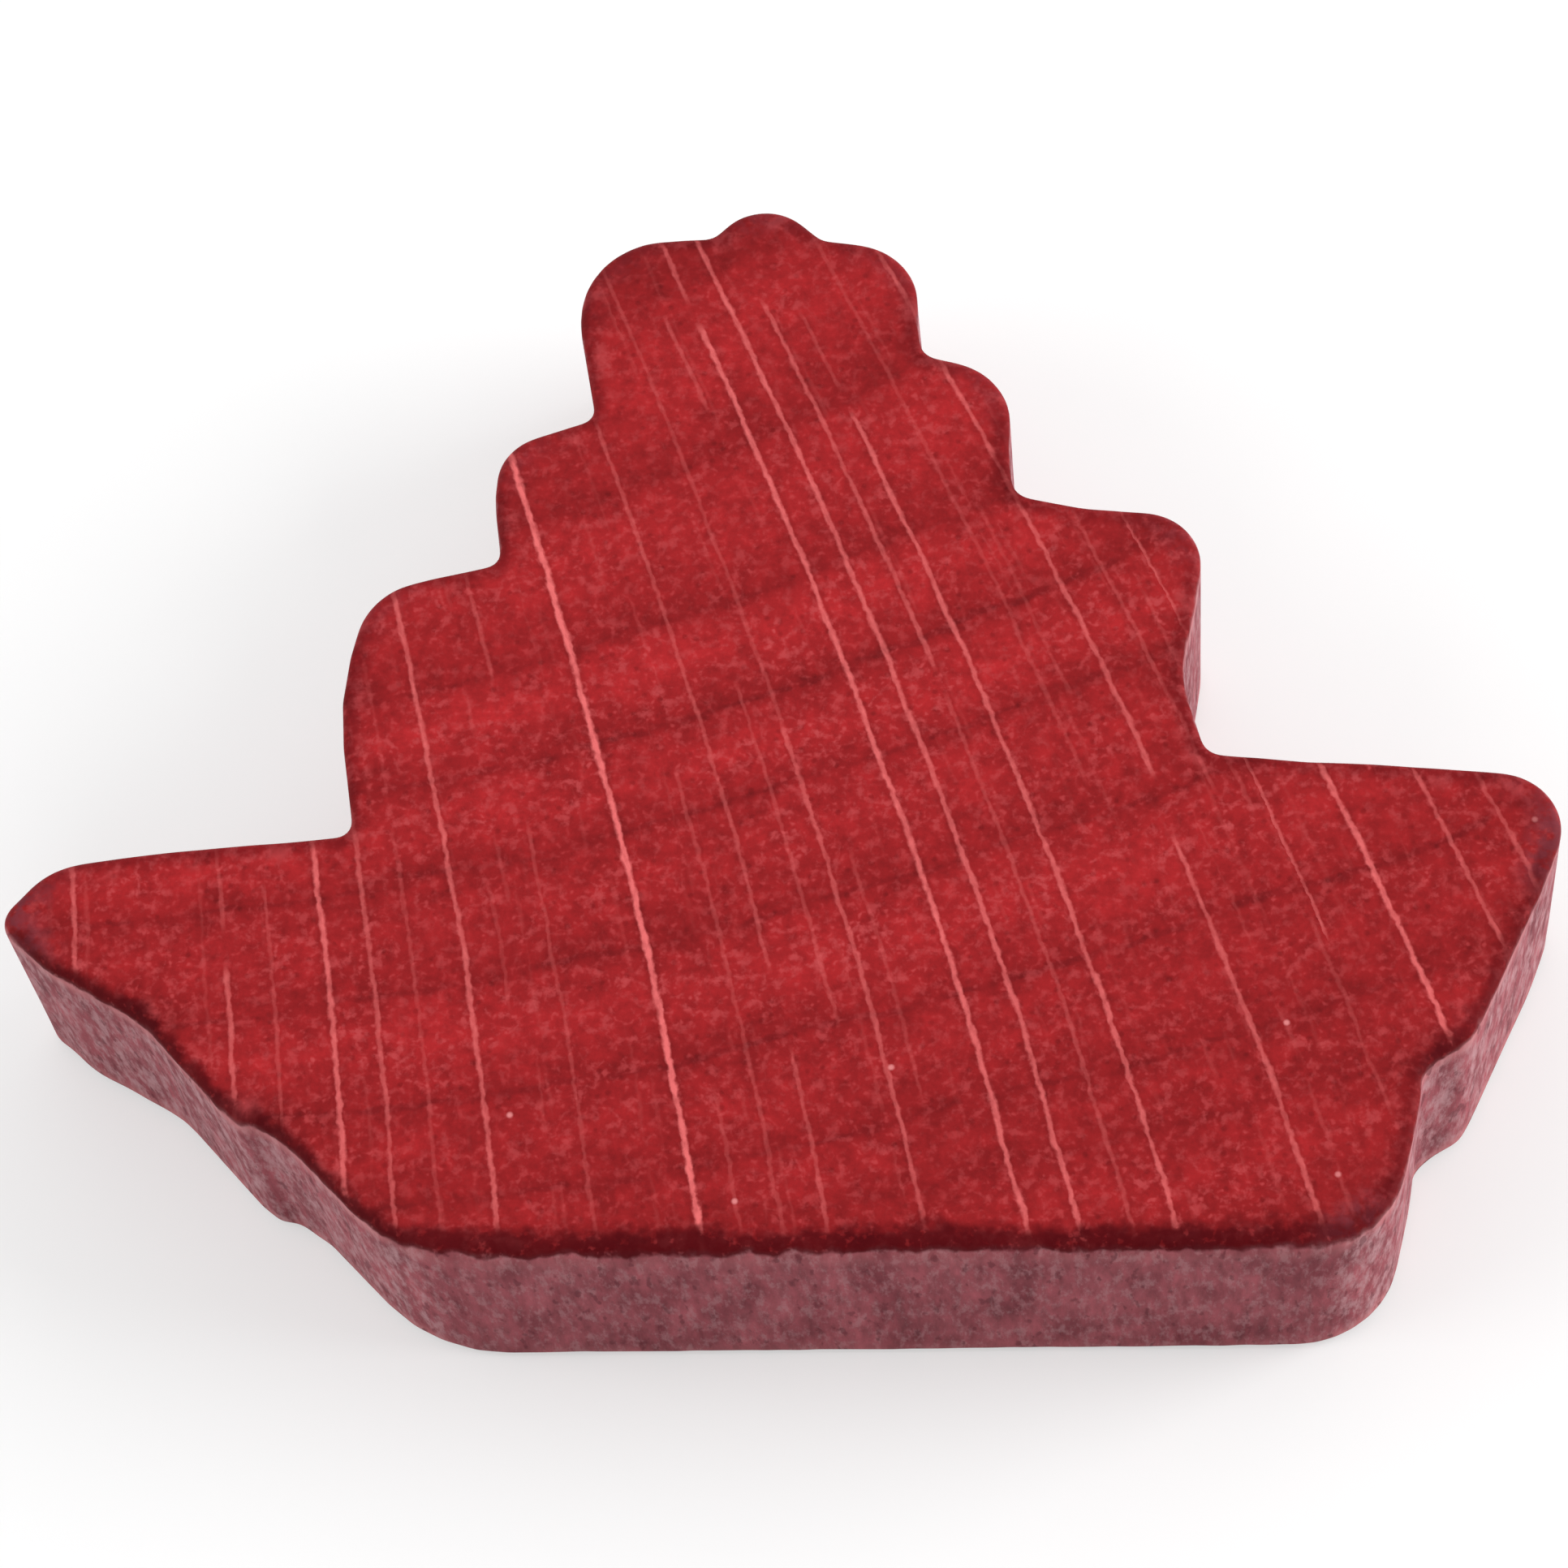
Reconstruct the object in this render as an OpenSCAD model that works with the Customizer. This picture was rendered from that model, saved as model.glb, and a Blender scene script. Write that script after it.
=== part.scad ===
// Sailing ship game piece: one slice of a wooden moulding, sawn across the grain.
// It lies on its back face. X runs from the bow to the stern, Y from the keel to the
// masthead and Z through the slice. All sizes are in millimetres.
// Reaches are measured along the hull from the mast line, heights from the keel, and
// both go to the corners as they are before rounding.

/* [Slice] */
// Thickness of the slice
thickness = 7; // [4:0.1:10]
// Rounding of the edges around both faces
edge_r = 0.3; // [0.1:0.05:0.4]

/* [Keel] */
// Reach of the keel ahead of the mast line
keel_fore = 8.4; // [6:0.1:9.5]
// Reach of the keel behind the mast line
keel_aft = 15.95; // [12:0.05:16.5]
// Rounding where the keel turns up to the bow
keel_fore_r = 4.5; // [1:0.1:6]
// Rounding where the keel turns up to the stern
keel_aft_r = 2.7; // [0.5:0.1:3.2]

/* [Bow] */
// Reach of the bow's tip
bow_reach = 19.35; // [17:0.05:22]
// Height of the bow's tip
bow_h = 9.45; // [9:0.05:10.2]
// Rounding of the bow's tip
bow_r = 0.4; // [0.4:0.05:0.8]
// Length over which the foredeck falls to the tip
shoulder_l = 1.1; // [0.6:0.05:2]
// Height of the foredeck where it starts to fall
shoulder_h = 11; // [10.6:0.05:11.6]
// Rounding where the foredeck starts to fall
shoulder_r = 2; // [0.5:0.1:2.6]
// Distance of the upper rail's nose behind the tip
upper_rail_back = 1.45; // [1:0.05:2]
// Height of the upper rail's nose
upper_rail_h = 8.08; // [7.8:0.02:8.4]
// Run of the upper rail towards the keel
upper_rail_run = 2.45; // [1.5:0.05:3]
// Fall of the upper rail over its run
upper_rail_fall = 1.43; // [0.8:0.01:1.8]
// Rounding of the upper rail's nose and root
upper_rail_r = 3; // [1:0.1:4]
// Distance of the lower rail's nose behind the tip
lower_rail_back = 6.25; // [5.6:0.05:7]
// Height of the lower rail's nose
lower_rail_h = 4.03; // [3.6:0.01:4.5]
// Run of the lower rail towards the keel
lower_rail_run = 1.75; // [1:0.05:2.5]
// Fall of the lower rail over its run
lower_rail_fall = 0.95; // [0.4:0.05:1.3]
// Rounding of the lower rail's nose and root
lower_rail_r = 1.2; // [0.5:0.1:2]

/* [Stern] */
// Lean of the sternpost from the keel to the step
sternpost_lean = 1.1; // [0.2:0.05:1.8]
// Height of the step above the sternpost
step_h = 4.65; // [3.8:0.05:5.2]
// Reach of the step behind the sternpost
step_w = 1.15; // [0.5:0.05:1.6]
// Rise of the step
step_rise = 0.85; // [0.4:0.05:1.2]
// Rounding of the step's root
step_root_r = 0.6; // [0.2:0.05:1]
// Rounding of the step's nose
step_nose_r = 1; // [0.4:0.05:1.5]
// Reach of the quarter, where the stern swells most
quarter_reach = 20.25; // [19.8:0.05:20.8]
// Height of the quarter
quarter_h = 9.9; // [9:0.05:10.5]
// Rounding of the quarter
quarter_r = 5; // [1:0.1:6]
// Reach of the stern's upper corner
stern_reach = 21.35; // [20.9:0.05:23]
// Height of the stern's upper corner
stern_h = 12.85; // [12.4:0.05:13.2]
// Rounding of the stern's upper corner
stern_r = 1.5; // [0.5:0.1:1.8]

/* [Decks] */
// Height of the foredeck at the lower sail
foredeck_h = 11.8; // [11.3:0.05:12.6]
// Height of the after deck at the lower sail
afterdeck_h = 13.7; // [13.4:0.05:14.6]

/* [Dips] */
// Reach of the slight dip in the after deck
deck_dip_reach = 14.4; // [13.6:0.1:16]
// Height of the after deck in its dip
deck_dip_h = 13.33; // [13:0.01:13.5]
// Reach of the slight dip in the lower sail's head, on the stern's side
sail_dip_reach = 8.75; // [8:0.05:10]
// Depth of that dip below the middle sail's foot
sail_dip = 0.46; // [0.3:0.01:0.6]
// Rounding of the dips
dip_r = 2; // [0.5:0.1:4]

/* [Sails] */
// Height by which the aft end of a sail's foot stands above its fore end
sail_lift = 1.75; // [1.2:0.05:2.4]
// Rounding where a sail's foot meets what is below it, on the bow's side
fore_notch_r = 0.4; // [0.2:0.05:0.6]
// Rounding where a sail's foot meets what is below it, on the stern's side
aft_notch_r = 0.6; // [0.3:0.05:0.8]
// Height of a fore edge's fullest point above the middle of that edge
belly_rise = 0.3; // [0:0.05:0.6]
// Depth of an aft edge's hollow below the middle of that edge
hollow_fall = 0.9; // [0.4:0.05:1.2]
// Rounding of an aft edge's hollow
hollow_r = 4; // [1:0.1:8]

/* [Lower sail] */
// Reach of the lower sail's foot towards the bow
lower_fore_foot = 10.25; // [8.5:0.05:11.5]
// Reach of the lower sail's head towards the bow
lower_fore_head = 10.25; // [8.5:0.05:11.5]
// Swell of the lower sail's fore edge beyond its foot
lower_belly = 0.62; // [0.1:0.01:1]
// Rounding of the lower sail's swell
lower_belly_r = 8; // [2:0.1:10]
// Fall of the lower sail's head towards the bow
lower_fore_fall = 0.78; // [0.3:0.01:1.4]
// Rounding of the lower sail's fore head corner
lower_fore_r = 1.8; // [0.5:0.1:2.5]
// Reach of the lower sail's foot towards the stern
lower_aft_foot = 11.75; // [10:0.05:12.6]
// Reach of the lower sail's head towards the stern
lower_aft_head = 12; // [10:0.05:13]
// Hollow of the lower sail's aft edge within its foot
lower_hollow = 0.42; // [0.05:0.01:0.8]
// Fall of the lower sail's head towards the stern
lower_aft_fall = 0.75; // [0.5:0.05:1.4]
// Rounding of the lower sail's aft head corner
lower_aft_r = 1.5; // [0.5:0.1:2]

/* [Middle sail] */
// Height of the middle sail's foot at its fore end
middle_foot_h = 19.75; // [18.5:0.05:21]
// Reach of the middle sail's foot towards the bow
middle_fore_foot = 6.73; // [5.6:0.01:8]
// Reach of the middle sail's head towards the bow
middle_fore_head = 6.85; // [5.6:0.05:8]
// Swell of the middle sail's fore edge beyond its foot
middle_belly = 0.28; // [0.1:0.01:0.6]
// Rounding of the middle sail's swell
middle_belly_r = 4.7; // [1:0.1:6]
// Fall of the middle sail's head towards the bow
middle_fore_fall = 0.83; // [0.3:0.01:1.2]
// Rounding of the middle sail's fore head corner
middle_fore_r = 1.3; // [0.5:0.1:1.6]
// Reach of the middle sail's foot towards the stern
middle_aft_foot = 6.9; // [5.8:0.05:8]
// Reach of the middle sail's head towards the stern
middle_aft_head = 6.85; // [5.8:0.05:8]
// Hollow of the middle sail's aft edge within its foot
middle_hollow = 0.16; // [0.05:0.01:0.5]
// Fall of the middle sail's head towards the stern
middle_aft_fall = 0.6; // [0.3:0.01:1.2]
// Rounding of the middle sail's aft head corner
middle_aft_r = 1.9; // [0.5:0.1:2.2]

/* [Upper sail] */
// Height of the upper sail's foot at its fore end
upper_foot_h = 24.15; // [23:0.05:25.2]
// Reach of the upper sail's foot towards the bow
upper_fore_foot = 4.35; // [3.2:0.05:5.2]
// Reach of the upper sail's head towards the bow
upper_fore_head = 4.65; // [3.4:0.05:5.4]
// Swell of the upper sail's fore edge beyond its foot
upper_belly = 0.55; // [0.1:0.01:0.9]
// Rounding of the upper sail's swell
upper_belly_r = 3.2; // [1:0.1:4]
// Fall of the upper sail's head towards the bow
upper_fore_fall = 0.12; // [0.02:0.01:0.6]
// Rounding of the upper sail's fore head corner
upper_fore_r = 2.2; // [0.5:0.1:2.4]
// Reach of the upper sail's foot towards the stern
upper_aft_foot = 4.42; // [3.4:0.01:5.4]
// Reach of the upper sail's head towards the stern
upper_aft_head = 4.25; // [3.4:0.05:5.4]
// Hollow of the upper sail's aft edge within its foot
upper_hollow = 0.1; // [0.02:0.01:0.4]
// Fall of the upper sail's head towards the stern
upper_aft_fall = 0.42; // [0.1:0.01:0.8]
// Rounding of the upper sail's aft head corner
upper_aft_r = 1.8; // [0.5:0.1:2]

/* [Masthead] */
// Height of the masthead's foot on the bow's side
masthead_fore_h = 29.8; // [29.2:0.05:31]
// Height of the masthead's foot on the stern's side
masthead_aft_h = 29.65; // [29.2:0.05:31]
// Reach of the masthead's foot towards the bow
masthead_fore = 1.3; // [0.9:0.05:1.8]
// Reach of the masthead's foot towards the stern
masthead_aft = 1.68; // [1.2:0.01:2.2]
// Height of the masthead's point
masthead_h = 31.3; // [31:0.05:32.5]
// Rounding where the masthead's foot meets the upper sail
masthead_notch_r = 0.5; // [0.2:0.05:0.7]
// Rounding of the masthead's point
masthead_r = 1.4; // [0.5:0.1:1.6]

/* [Hidden] */
// Colour of the dyed wood
dyed_wood = [0.635, 0.18, 0.188];
// Largest turn, in degrees, between neighbouring points of a rounded corner
turn_step = 12;
// Steps in the rounding of an edge
edge_steps = 3;
// Share of a straight that the roundings at its two ends may take up
straight_share = 0.96;
// Share of the tightest outward corner, or of half the thickness, that an edge may take up
edge_share = 0.75;
// Share of the tightest outward corner by which the core reaches into the rim, and the rim into the core
lap_share = 0.1;

middle_aft_h = middle_foot_h + sail_lift;
upper_aft_h = upper_foot_h + sail_lift;
upper_rail = [upper_rail_back - bow_reach, upper_rail_h];
lower_rail = [lower_rail_back - bow_reach, lower_rail_h];

// A corner is [x, y, rounding]. The corners run anticlockwise, seen on the front face.
stern = [
    [keel_aft, 0, keel_aft_r],
    [keel_aft + sternpost_lean, step_h, step_root_r],
    [keel_aft + sternpost_lean + step_w, step_h + step_rise, step_nose_r],
    [quarter_reach, quarter_h, quarter_r],
    [stern_reach, stern_h, stern_r],
    [deck_dip_reach, deck_dip_h, dip_r]
];
lower_sail_dip = [
    [sail_dip_reach, middle_aft_h - sail_dip, dip_r]
];
masthead = [
    [masthead_aft, masthead_aft_h, masthead_notch_r],
    [0, masthead_h, masthead_r],
    [-masthead_fore, masthead_fore_h, masthead_notch_r]
];
bow = [
    [shoulder_l - bow_reach, shoulder_h, shoulder_r],
    [-bow_reach, bow_h, bow_r],
    [upper_rail.x, upper_rail.y, upper_rail_r],
    [upper_rail.x + upper_rail_run, upper_rail.y - upper_rail_fall, upper_rail_r],
    [lower_rail.x, lower_rail.y, lower_rail_r],
    [lower_rail.x + lower_rail_run, lower_rail.y - lower_rail_fall, lower_rail_r],
    [-keel_fore, 0, keel_fore_r]
];

// Aft edge of a sail, from its foot up to its head, hollowed above the foot
function aft_edge(foot, foot_h, head, head_h, hollow, head_r) = [
    [foot, foot_h, aft_notch_r],
    [foot - hollow, (foot_h + head_h) / 2 - hollow_fall, hollow_r],
    [head, head_h, head_r]
];

// Fore edge of a sail, from its head down to its foot, swelling towards the bow
function fore_edge(foot, foot_h, head, head_h, belly, belly_r, head_r) = [
    [-head, head_h, head_r],
    [-foot - belly, (foot_h + head_h) / 2 + belly_rise, belly_r],
    [-foot, foot_h, fore_notch_r]
];

corners = concat(
    stern,
    aft_edge(lower_aft_foot, afterdeck_h, lower_aft_head,
        middle_aft_h - lower_aft_fall, lower_hollow, lower_aft_r),
    lower_sail_dip,
    aft_edge(middle_aft_foot, middle_aft_h, middle_aft_head,
        upper_aft_h - middle_aft_fall, middle_hollow, middle_aft_r),
    aft_edge(upper_aft_foot, upper_aft_h, upper_aft_head,
        masthead_aft_h - upper_aft_fall, upper_hollow, upper_aft_r),
    masthead,
    fore_edge(upper_fore_foot, upper_foot_h, upper_fore_head,
        masthead_fore_h - upper_fore_fall, upper_belly, upper_belly_r, upper_fore_r),
    fore_edge(middle_fore_foot, middle_foot_h, middle_fore_head,
        upper_foot_h - middle_fore_fall, middle_belly, middle_belly_r, middle_fore_r),
    fore_edge(lower_fore_foot, foredeck_h, lower_fore_head,
        middle_foot_h - lower_fore_fall, lower_belly, lower_belly_r, lower_fore_r),
    bow
);

// Corner i, counted round the outline
function corner(i) = corners[(i + len(corners)) % len(corners)];

// The straight from corner i to the next corner
function straight(i) = let(a = corner(i), b = corner(i + 1)) [b.x - a.x, b.y - a.y];

// Degrees by which the outline turns at corner i, positive where it bulges out
function turn(i) = let(a = straight(i - 1), b = straight(i)) atan2(cross(a, b), a * b);

// Length that the rounding of corner i asks for on the straights beside it
function asked(i) = corner(i)[2] * tan(abs(turn(i)) / 2);

// Largest scale, up to 1, at which both roundings fit on straight i
function fit(i) = min(1, straight_share * norm(straight(i)) / (asked(i) + asked(i + 1)));

// Rounding of corner i as built
function radius(i) = corner(i)[2] * min(fit(i - 1), fit(i));

// The rounding of corner i as points, each [x, y, outward normal's x, outward normal's y]
function arc(i) = let(
    along = straight(i - 1) / norm(straight(i - 1)),
    bend = turn(i),
    r = sign(bend) * radius(i),
    start = [corner(i).x, corner(i).y] - along * radius(i) * tan(abs(bend) / 2),
    centre = start + r * [-along.y, along.x],
    steps = ceil(abs(bend) / turn_step),
    heading = atan2(-along.x, along.y)
) [
    for (k = [0:steps])
        let(a = heading + bend * k / max(1, steps))
        [centre.x + r * cos(a), centre.y + r * sin(a), cos(a), sin(a)]
];

corner_numbers = [0:len(corners) - 1];
outline = [for (i = corner_numbers) each arc(i)];

// The middle of the outline's box is brought over the origin
function middle(values) = (min(values) + max(values)) / 2;
middle_x = middle([for (p = outline) p.x]);
middle_y = middle([for (p = outline) p.y]);

// Rounding of the edges as built
tightest = min([for (i = corner_numbers) if (turn(i) > 0) radius(i)]);
edge = min(edge_r, edge_share * min(tightest, thickness / 2));
lap = lap_share * tightest;

// The outline drawn in by inset
function ring(inset) = [
    for (p = outline)
        [p.x - inset * p[2] - middle_x, p.y - inset * p[3] - middle_y]
];

// Section of the rim as [inset, height], from the back face round the outside to the front face
back_edge = [
    for (k = [0:edge_steps])
        let(a = 90 * k / edge_steps)
        [edge * (1 - sin(a)), edge * (1 - cos(a))]
];
front_edge = [
    for (k = [edge_steps:-1:0])
        [back_edge[k][0], thickness - back_edge[k][1]]
];
rim_inset = edge + 2 * lap;
rim_section = concat([[rim_inset, 0]], back_edge, front_edge, [[rim_inset, thickness]]);

// The wood between the two faces, reaching into the rim
module core() {
    linear_extrude(thickness)
        polygon(ring(edge + lap));
}

// The outer wall of the piece with its two rounded edges, as a closed hoop around the core
module rim() {
    n = len(outline);
    m = len(rim_section);
    points = [
        for (s = rim_section, p = ring(s[0]))
            [p.x, p.y, s[1]]
    ];
    faces = [
        for (k = [0:m - 1], i = [0:n - 1])
            let(next_k = (k + 1) % m, next_i = (i + 1) % n)
            [k * n + i, next_k * n + i, next_k * n + next_i, k * n + next_i]
    ];
    polyhedron(points, faces);
}

// Hull, sails and masthead in one piece of wood
module ship() {
    color(dyed_wood) {
        core();
        rim();
    }
}

ship();
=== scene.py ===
"""Dresses the ship game piece: worn edges, dyed end grain, and the plain stage that it is shown on."""

import math
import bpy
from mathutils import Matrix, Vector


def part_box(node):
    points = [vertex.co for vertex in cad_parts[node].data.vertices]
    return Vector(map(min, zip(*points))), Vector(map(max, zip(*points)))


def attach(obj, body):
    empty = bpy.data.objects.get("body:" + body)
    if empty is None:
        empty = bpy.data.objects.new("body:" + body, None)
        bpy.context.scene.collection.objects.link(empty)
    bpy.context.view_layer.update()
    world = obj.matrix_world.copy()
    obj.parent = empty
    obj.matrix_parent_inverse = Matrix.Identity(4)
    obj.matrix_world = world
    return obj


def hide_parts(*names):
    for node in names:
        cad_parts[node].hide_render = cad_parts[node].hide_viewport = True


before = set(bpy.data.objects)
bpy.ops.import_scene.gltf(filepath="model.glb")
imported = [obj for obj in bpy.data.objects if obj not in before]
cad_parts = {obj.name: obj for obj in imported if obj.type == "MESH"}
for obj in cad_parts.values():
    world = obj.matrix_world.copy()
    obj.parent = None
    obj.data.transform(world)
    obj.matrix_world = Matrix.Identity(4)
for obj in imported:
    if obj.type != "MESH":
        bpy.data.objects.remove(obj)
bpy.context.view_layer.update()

from types import SimpleNamespace

import bmesh
import bpy
import numpy as np
from mathutils import Euler, Vector, kdtree, noise
from mathutils.geometry import delaunay_2d_cdt

bl_info = {
    "name": "Wooden ship game piece",
    "version": (1, 0, 0),
    "blender": (4, 5, 0),
    "location": "3D View > Sidebar > Ship",
    "description": "Makes a dyed wooden ship game piece around its packed solid, and a stage for it",
    "category": "Object",
}

NODE = "ship"
MM = 0.001
PER_MM = 1000.0
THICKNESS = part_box(NODE)[1].z

# How far a wall's normal may lean, and how far a point may lie from the wall's upper end
UPRIGHT = 0.01
LEVEL = 0.01 * MM
# Places in plan are told apart by this many steps to the metre
PLACE_STEPS = 1e7
# Least turn at a point of the outline, in radians, so that a straight or hollow run has a very large radius
LEAST_TURN = 1e-6

# Dents and bulges of the real outline: place in mm, how far outward in mm, and half their length in mm
DENTS = (
    (-15.9, -4.1, 0.10, 2.6),
    (14.8, -2.4, 0.11, 3.2),
    (10.5, 0.5, -0.16, 1.3),
    (16.6, -10.2, -0.15, 0.9),
    (-19.86, -5.40, 0.06, 0.35),
    (-19.80, -6.30, 0.06, 0.35),
    (-19.20, -6.95, 0.04, 0.80),
    (-13.53, -11.68, 0.07, 0.30),
    (-12.84, -11.78, -0.09, 0.50),
)

# Radius in plan below which a corner wears more than the rest of the edge
WORN_CORNER = 3.5 * MM
# Least radius of a worn edge, and the largest share of a convex corner's radius that it may take
LEAST_EDGE = 0.12 * MM
EDGE_SHARE = 0.92
# Points on either side of one whose corner radius holds for it too
EDGE_NEIGHBOURS = 3
# How far an edge has to face the keel for the keel's wear to begin and to be full
KEEL_WEAR_FACING = (0.5, 0.95)
# Long and short waves of the edge's wear, their shares, and how much more the short ones show at the keel
LONG_WEAR = 2.2 * MM
SHORT_WEAR = 0.5 * MM
LONG_SHARE = 0.7
SHORT_SHARE = 0.4
SHORT_SHARE_KEEL = 0.6
# Seeds of the wear along the back and the front edge, and of the relief of the back and the front face
EDGE_SEEDS = (3.0, 7.0)
SHORT_WEAR_SEED = 10.0
FACE_SEEDS = (20.0, 40.0)
# Points along the outline over which the edge's radius, its facing and its corners are smoothed
RADIUS_SPREAD = 2.0
FACING_SPREAD = 4.0
CORNER_SPREAD = 6.0

# Steps in the rounding of an edge, and the angle at the middle of the rounding
EDGE_STEPS = 8
HALF_ARC = math.pi / 4
# Heights of the wall's rings, as shares of the wall between the two rounded edges
WALL_LEVELS = (0.015, 0.04, 0.08, 0.14, 0.23, 0.35, 0.5, 0.65, 0.77, 0.86, 0.92, 0.96, 0.985)
# Size of the wall's ripples along the outline and up the wall, and how fast they set in beside the edges
RIPPLE_WIDTH = 0.5 * MM
RIPPLE_LENGTH = 4.0 * MM
RIPPLE_RISE = 8
# Insets of the rows of points beside the edge of a face, and the spacing of its other points and their rows
FACE_ROWS = (0.1 * MM, 0.22 * MM, 0.36 * MM, 0.52 * MM, 0.75 * MM)
FACE_STEP = 0.45 * MM
FACE_ROW_STEP = FACE_STEP * math.sqrt(0.75)
# Share of its inset by which a row's point has to be clear of the edge
ROW_CLEARANCE = 0.95
# Size of the waves of a face's relief, and the distance from the edge over which they set in
RELIEF_LENGTH = 2.5 * MM
RELIEF_WIDTH = 1.2 * MM
RELIEF_RISE = 1.0 * MM
# Distance within which the filling of a face takes two points for one
SAME_POINT = 1e-9

# Where the faces and the wall lie on the bake's map, as left, bottom, width and height
FRONT_AREA = (0.01, 0.272, 0.94, 0.72)
BACK_AREA = (0.01, 0.008, 0.33, 0.252)
WALL_AREAS = ((0.355, 0.008, 0.635, 0.08), (0.355, 0.094, 0.635, 0.08), (0.355, 0.18, 0.635, 0.08))

# Wood rays: angle about the pith in degrees, nearest and farthest distance from the pith in mm, strength
RAYS = (
    (4.75, 94.0, 99.0, 0.45),
    (7.05, 94.0, 97.0, 0.20),
    (7.05, 98.2, 103.0, 0.50),
    (7.72, 96.0, 103.5, 0.20),
    (8.56, 94.0, 106.0, 0.70),
    (9.22, 94.0, 107.0, 0.40),
    (9.82, 95.0, 108.0, 0.15),
    (10.60, 87.0, 108.0, 0.55),
    (11.15, 97.0, 100.5, 0.12),
    (11.90, 87.0, 91.0, 0.25),
    (11.90, 95.5, 108.0, 0.18),
    (13.27, 84.0, 110.0, 1.00),
    (13.82, 104.0, 109.0, 0.15),
    (14.36, 95.0, 110.0, 0.18),
    (14.96, 84.0, 101.0, 0.28),
    (14.96, 103.5, 110.0, 0.30),
    (15.70, 93.0, 103.0, 0.20),
    (16.20, 79.0, 94.5, 0.18),
    (16.20, 94.5, 111.0, 0.42),
    (16.58, 98.5, 105.5, 0.15),
    (16.94, 81.5, 84.5, 0.25),
    (17.48, 79.0, 81.0, 0.40),
    (17.48, 82.0, 112.0, 0.72),
    (18.16, 79.0, 112.0, 0.62),
    (18.80, 81.8, 94.0, 0.40),
    (18.80, 95.0, 111.0, 0.22),
    (19.35, 82.5, 85.0, 0.18),
    (19.35, 86.0, 113.0, 0.60),
    (20.27, 80.0, 98.5, 0.15),
    (20.60, 90.0, 96.0, 0.12),
    (21.25, 80.5, 99.0, 0.50),
    (21.15, 101.0, 114.0, 0.50),
    (21.98, 91.0, 100.0, 0.20),
    (22.36, 94.0, 101.0, 0.15),
    (22.68, 91.0, 95.5, 0.40),
    (22.58, 99.0, 105.0, 0.42),
    (22.47, 104.5, 110.0, 0.15),
    (23.58, 100.0, 110.0, 0.75),
    (24.77, 101.0, 108.0, 0.40),
    (25.57, 102.0, 107.0, 0.35),
)
# Spans that hold every ray's angle in degrees and every ray's ends in mm
RAY_SPAN = (2.0, 29.0)
LENGTH_SPAN = (60.0, 130.0)
# Faint rays between them: how many to the degree, and a shift of their places
FAINT_RAYS = ((1.4, 0.0), (2.7, 7.3))
FAINT_STRENGTH = 0.12
FAINT_EDGE = (1.2, 0.2)
# How a faint ray's breaks lie, in waves to the degree across it and to the millimetre along it
FAINT_BREAKS = (5.0, 0.45)

# Growth rings: where a ring ends, in mm from the pith, where the next one is lightest, how light it is,
# and how strong the line at the ring's end is
RINGS = (
    (81.2, 83.4, 0.80, 0.2),
    (86.3, 88.0, 0.90, 0.2),
    (90.6, 91.8, 1.00, 0.5),
    (93.4, 95.0, 0.90, 0.9),
    (96.2, 97.6, 0.62, 0.7),
    (99.6, 101.2, 0.80, 0.7),
    (103.0, 104.4, 0.48, 1.0),
    (106.0, 106.8, 0.40, 0.7),
    (107.8, 109.2, 0.50, 0.4),
    (111.0, 112.4, 0.50, 0.4),
)
# Span in mm that holds every ring, and how light the wood is at its two ends
RING_SPAN = (77.0, 115.0)
RING_SPAN_TONES = (0.4, 0.3)
# Width in mm of the fast rise after a ring's end, and the share of the next ring's lightness it reaches
RING_RISE = 0.35
RING_RISE_SHARE = 0.55
# Half the width in mm of the line at a ring's end, its two ends in degrees about the pith, beyond the wood,
# and how much of its colour shows
RING_LINE = 0.09
RING_ENDS = (-90.0, 90.0)
RING_LINE_SHARE = 0.68

# A drawn line: least share of its width, fading at its ends, and how its edge and its shade run out
LINE_LEAST = 0.6
LINE_FADE = 0.3
LINE_EDGE = (1.6, 0.35)
LINE_SHADE = (4.0, 1.2)

# Pores: cells to the millimetre, how their edge runs out, and which share of the cells holds one
PORE_CELLS = 3.2
PORE_EDGE = (0.36, 0.1)
PORE_CHANCE = (0.5, 0.8)
# How much pores darken the face, and how much the wood beside a ray is darker
PORE_SHADE = -0.22
RAY_SHADE = -0.16

# Pale specks on the front face: place in mm, strength
SPECKS = (
    (2.98, -10.32, 0.70),
    (12.87, -9.26, 0.70),
    (-6.59, -11.47, 0.70),
    (-0.88, -13.87, 0.70),
    (19.30, -3.73, 0.35),
    (14.01, -13.36, 0.55),
)
# Distances in mm at which a speck ends and at which it is full
SPECK_EDGE = (0.11, 0.03)

# Spots where handling has rubbed the dye off the edge, painted also with the shade and sheen of its rounded
# edge: place and reach in mm
RUBBED = ((-20.0, -5.9, 2.4), (14.3, -14.7, 1.5), (19.6, -4.4, 1.8))
# Share of a spot's reach in which it is full, and how much a sharp corner is rubbed and given painted shade
# and sheen
RUBBED_CORE = 0.3
RUBBED_CORNER = 0.8

# Places beside the worn edge, in mm from its middle, less than 0 on the face and more than 0 on the wall:
# where the edge band's dye and painted shade gather and end, where the face's colour ends, and the rims of
# the face and of the wall
BAND_BEGIN = (-0.42, 0.08)
BAND_END = (0.27, 0.15)
FACE_END = (0.21, 0.03)
FACE_RIM = (-0.75, -0.35)
RUBBED_RIM = (-1.1, -0.1)
WALL_RIM = (0.95, 0.2)
# How far the beginning of the dark edge band moves as an edge turns beside the keel, and then to the keel,
# and how far its end moves there; the wider band there is painted shade on top of the dye
BAND_TURN = (0.0, 0.5, -0.15, -0.1)
BAND_KEEL = (0.0, 1.0, 0.0, -0.34)
BAND_KEEL_END = (0.0, 1.0, 0.0, 0.17)
# How much darker a face is towards its edges
EDGE_SHADE = (-1.4, -0.2, 1.0, 0.89)
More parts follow.
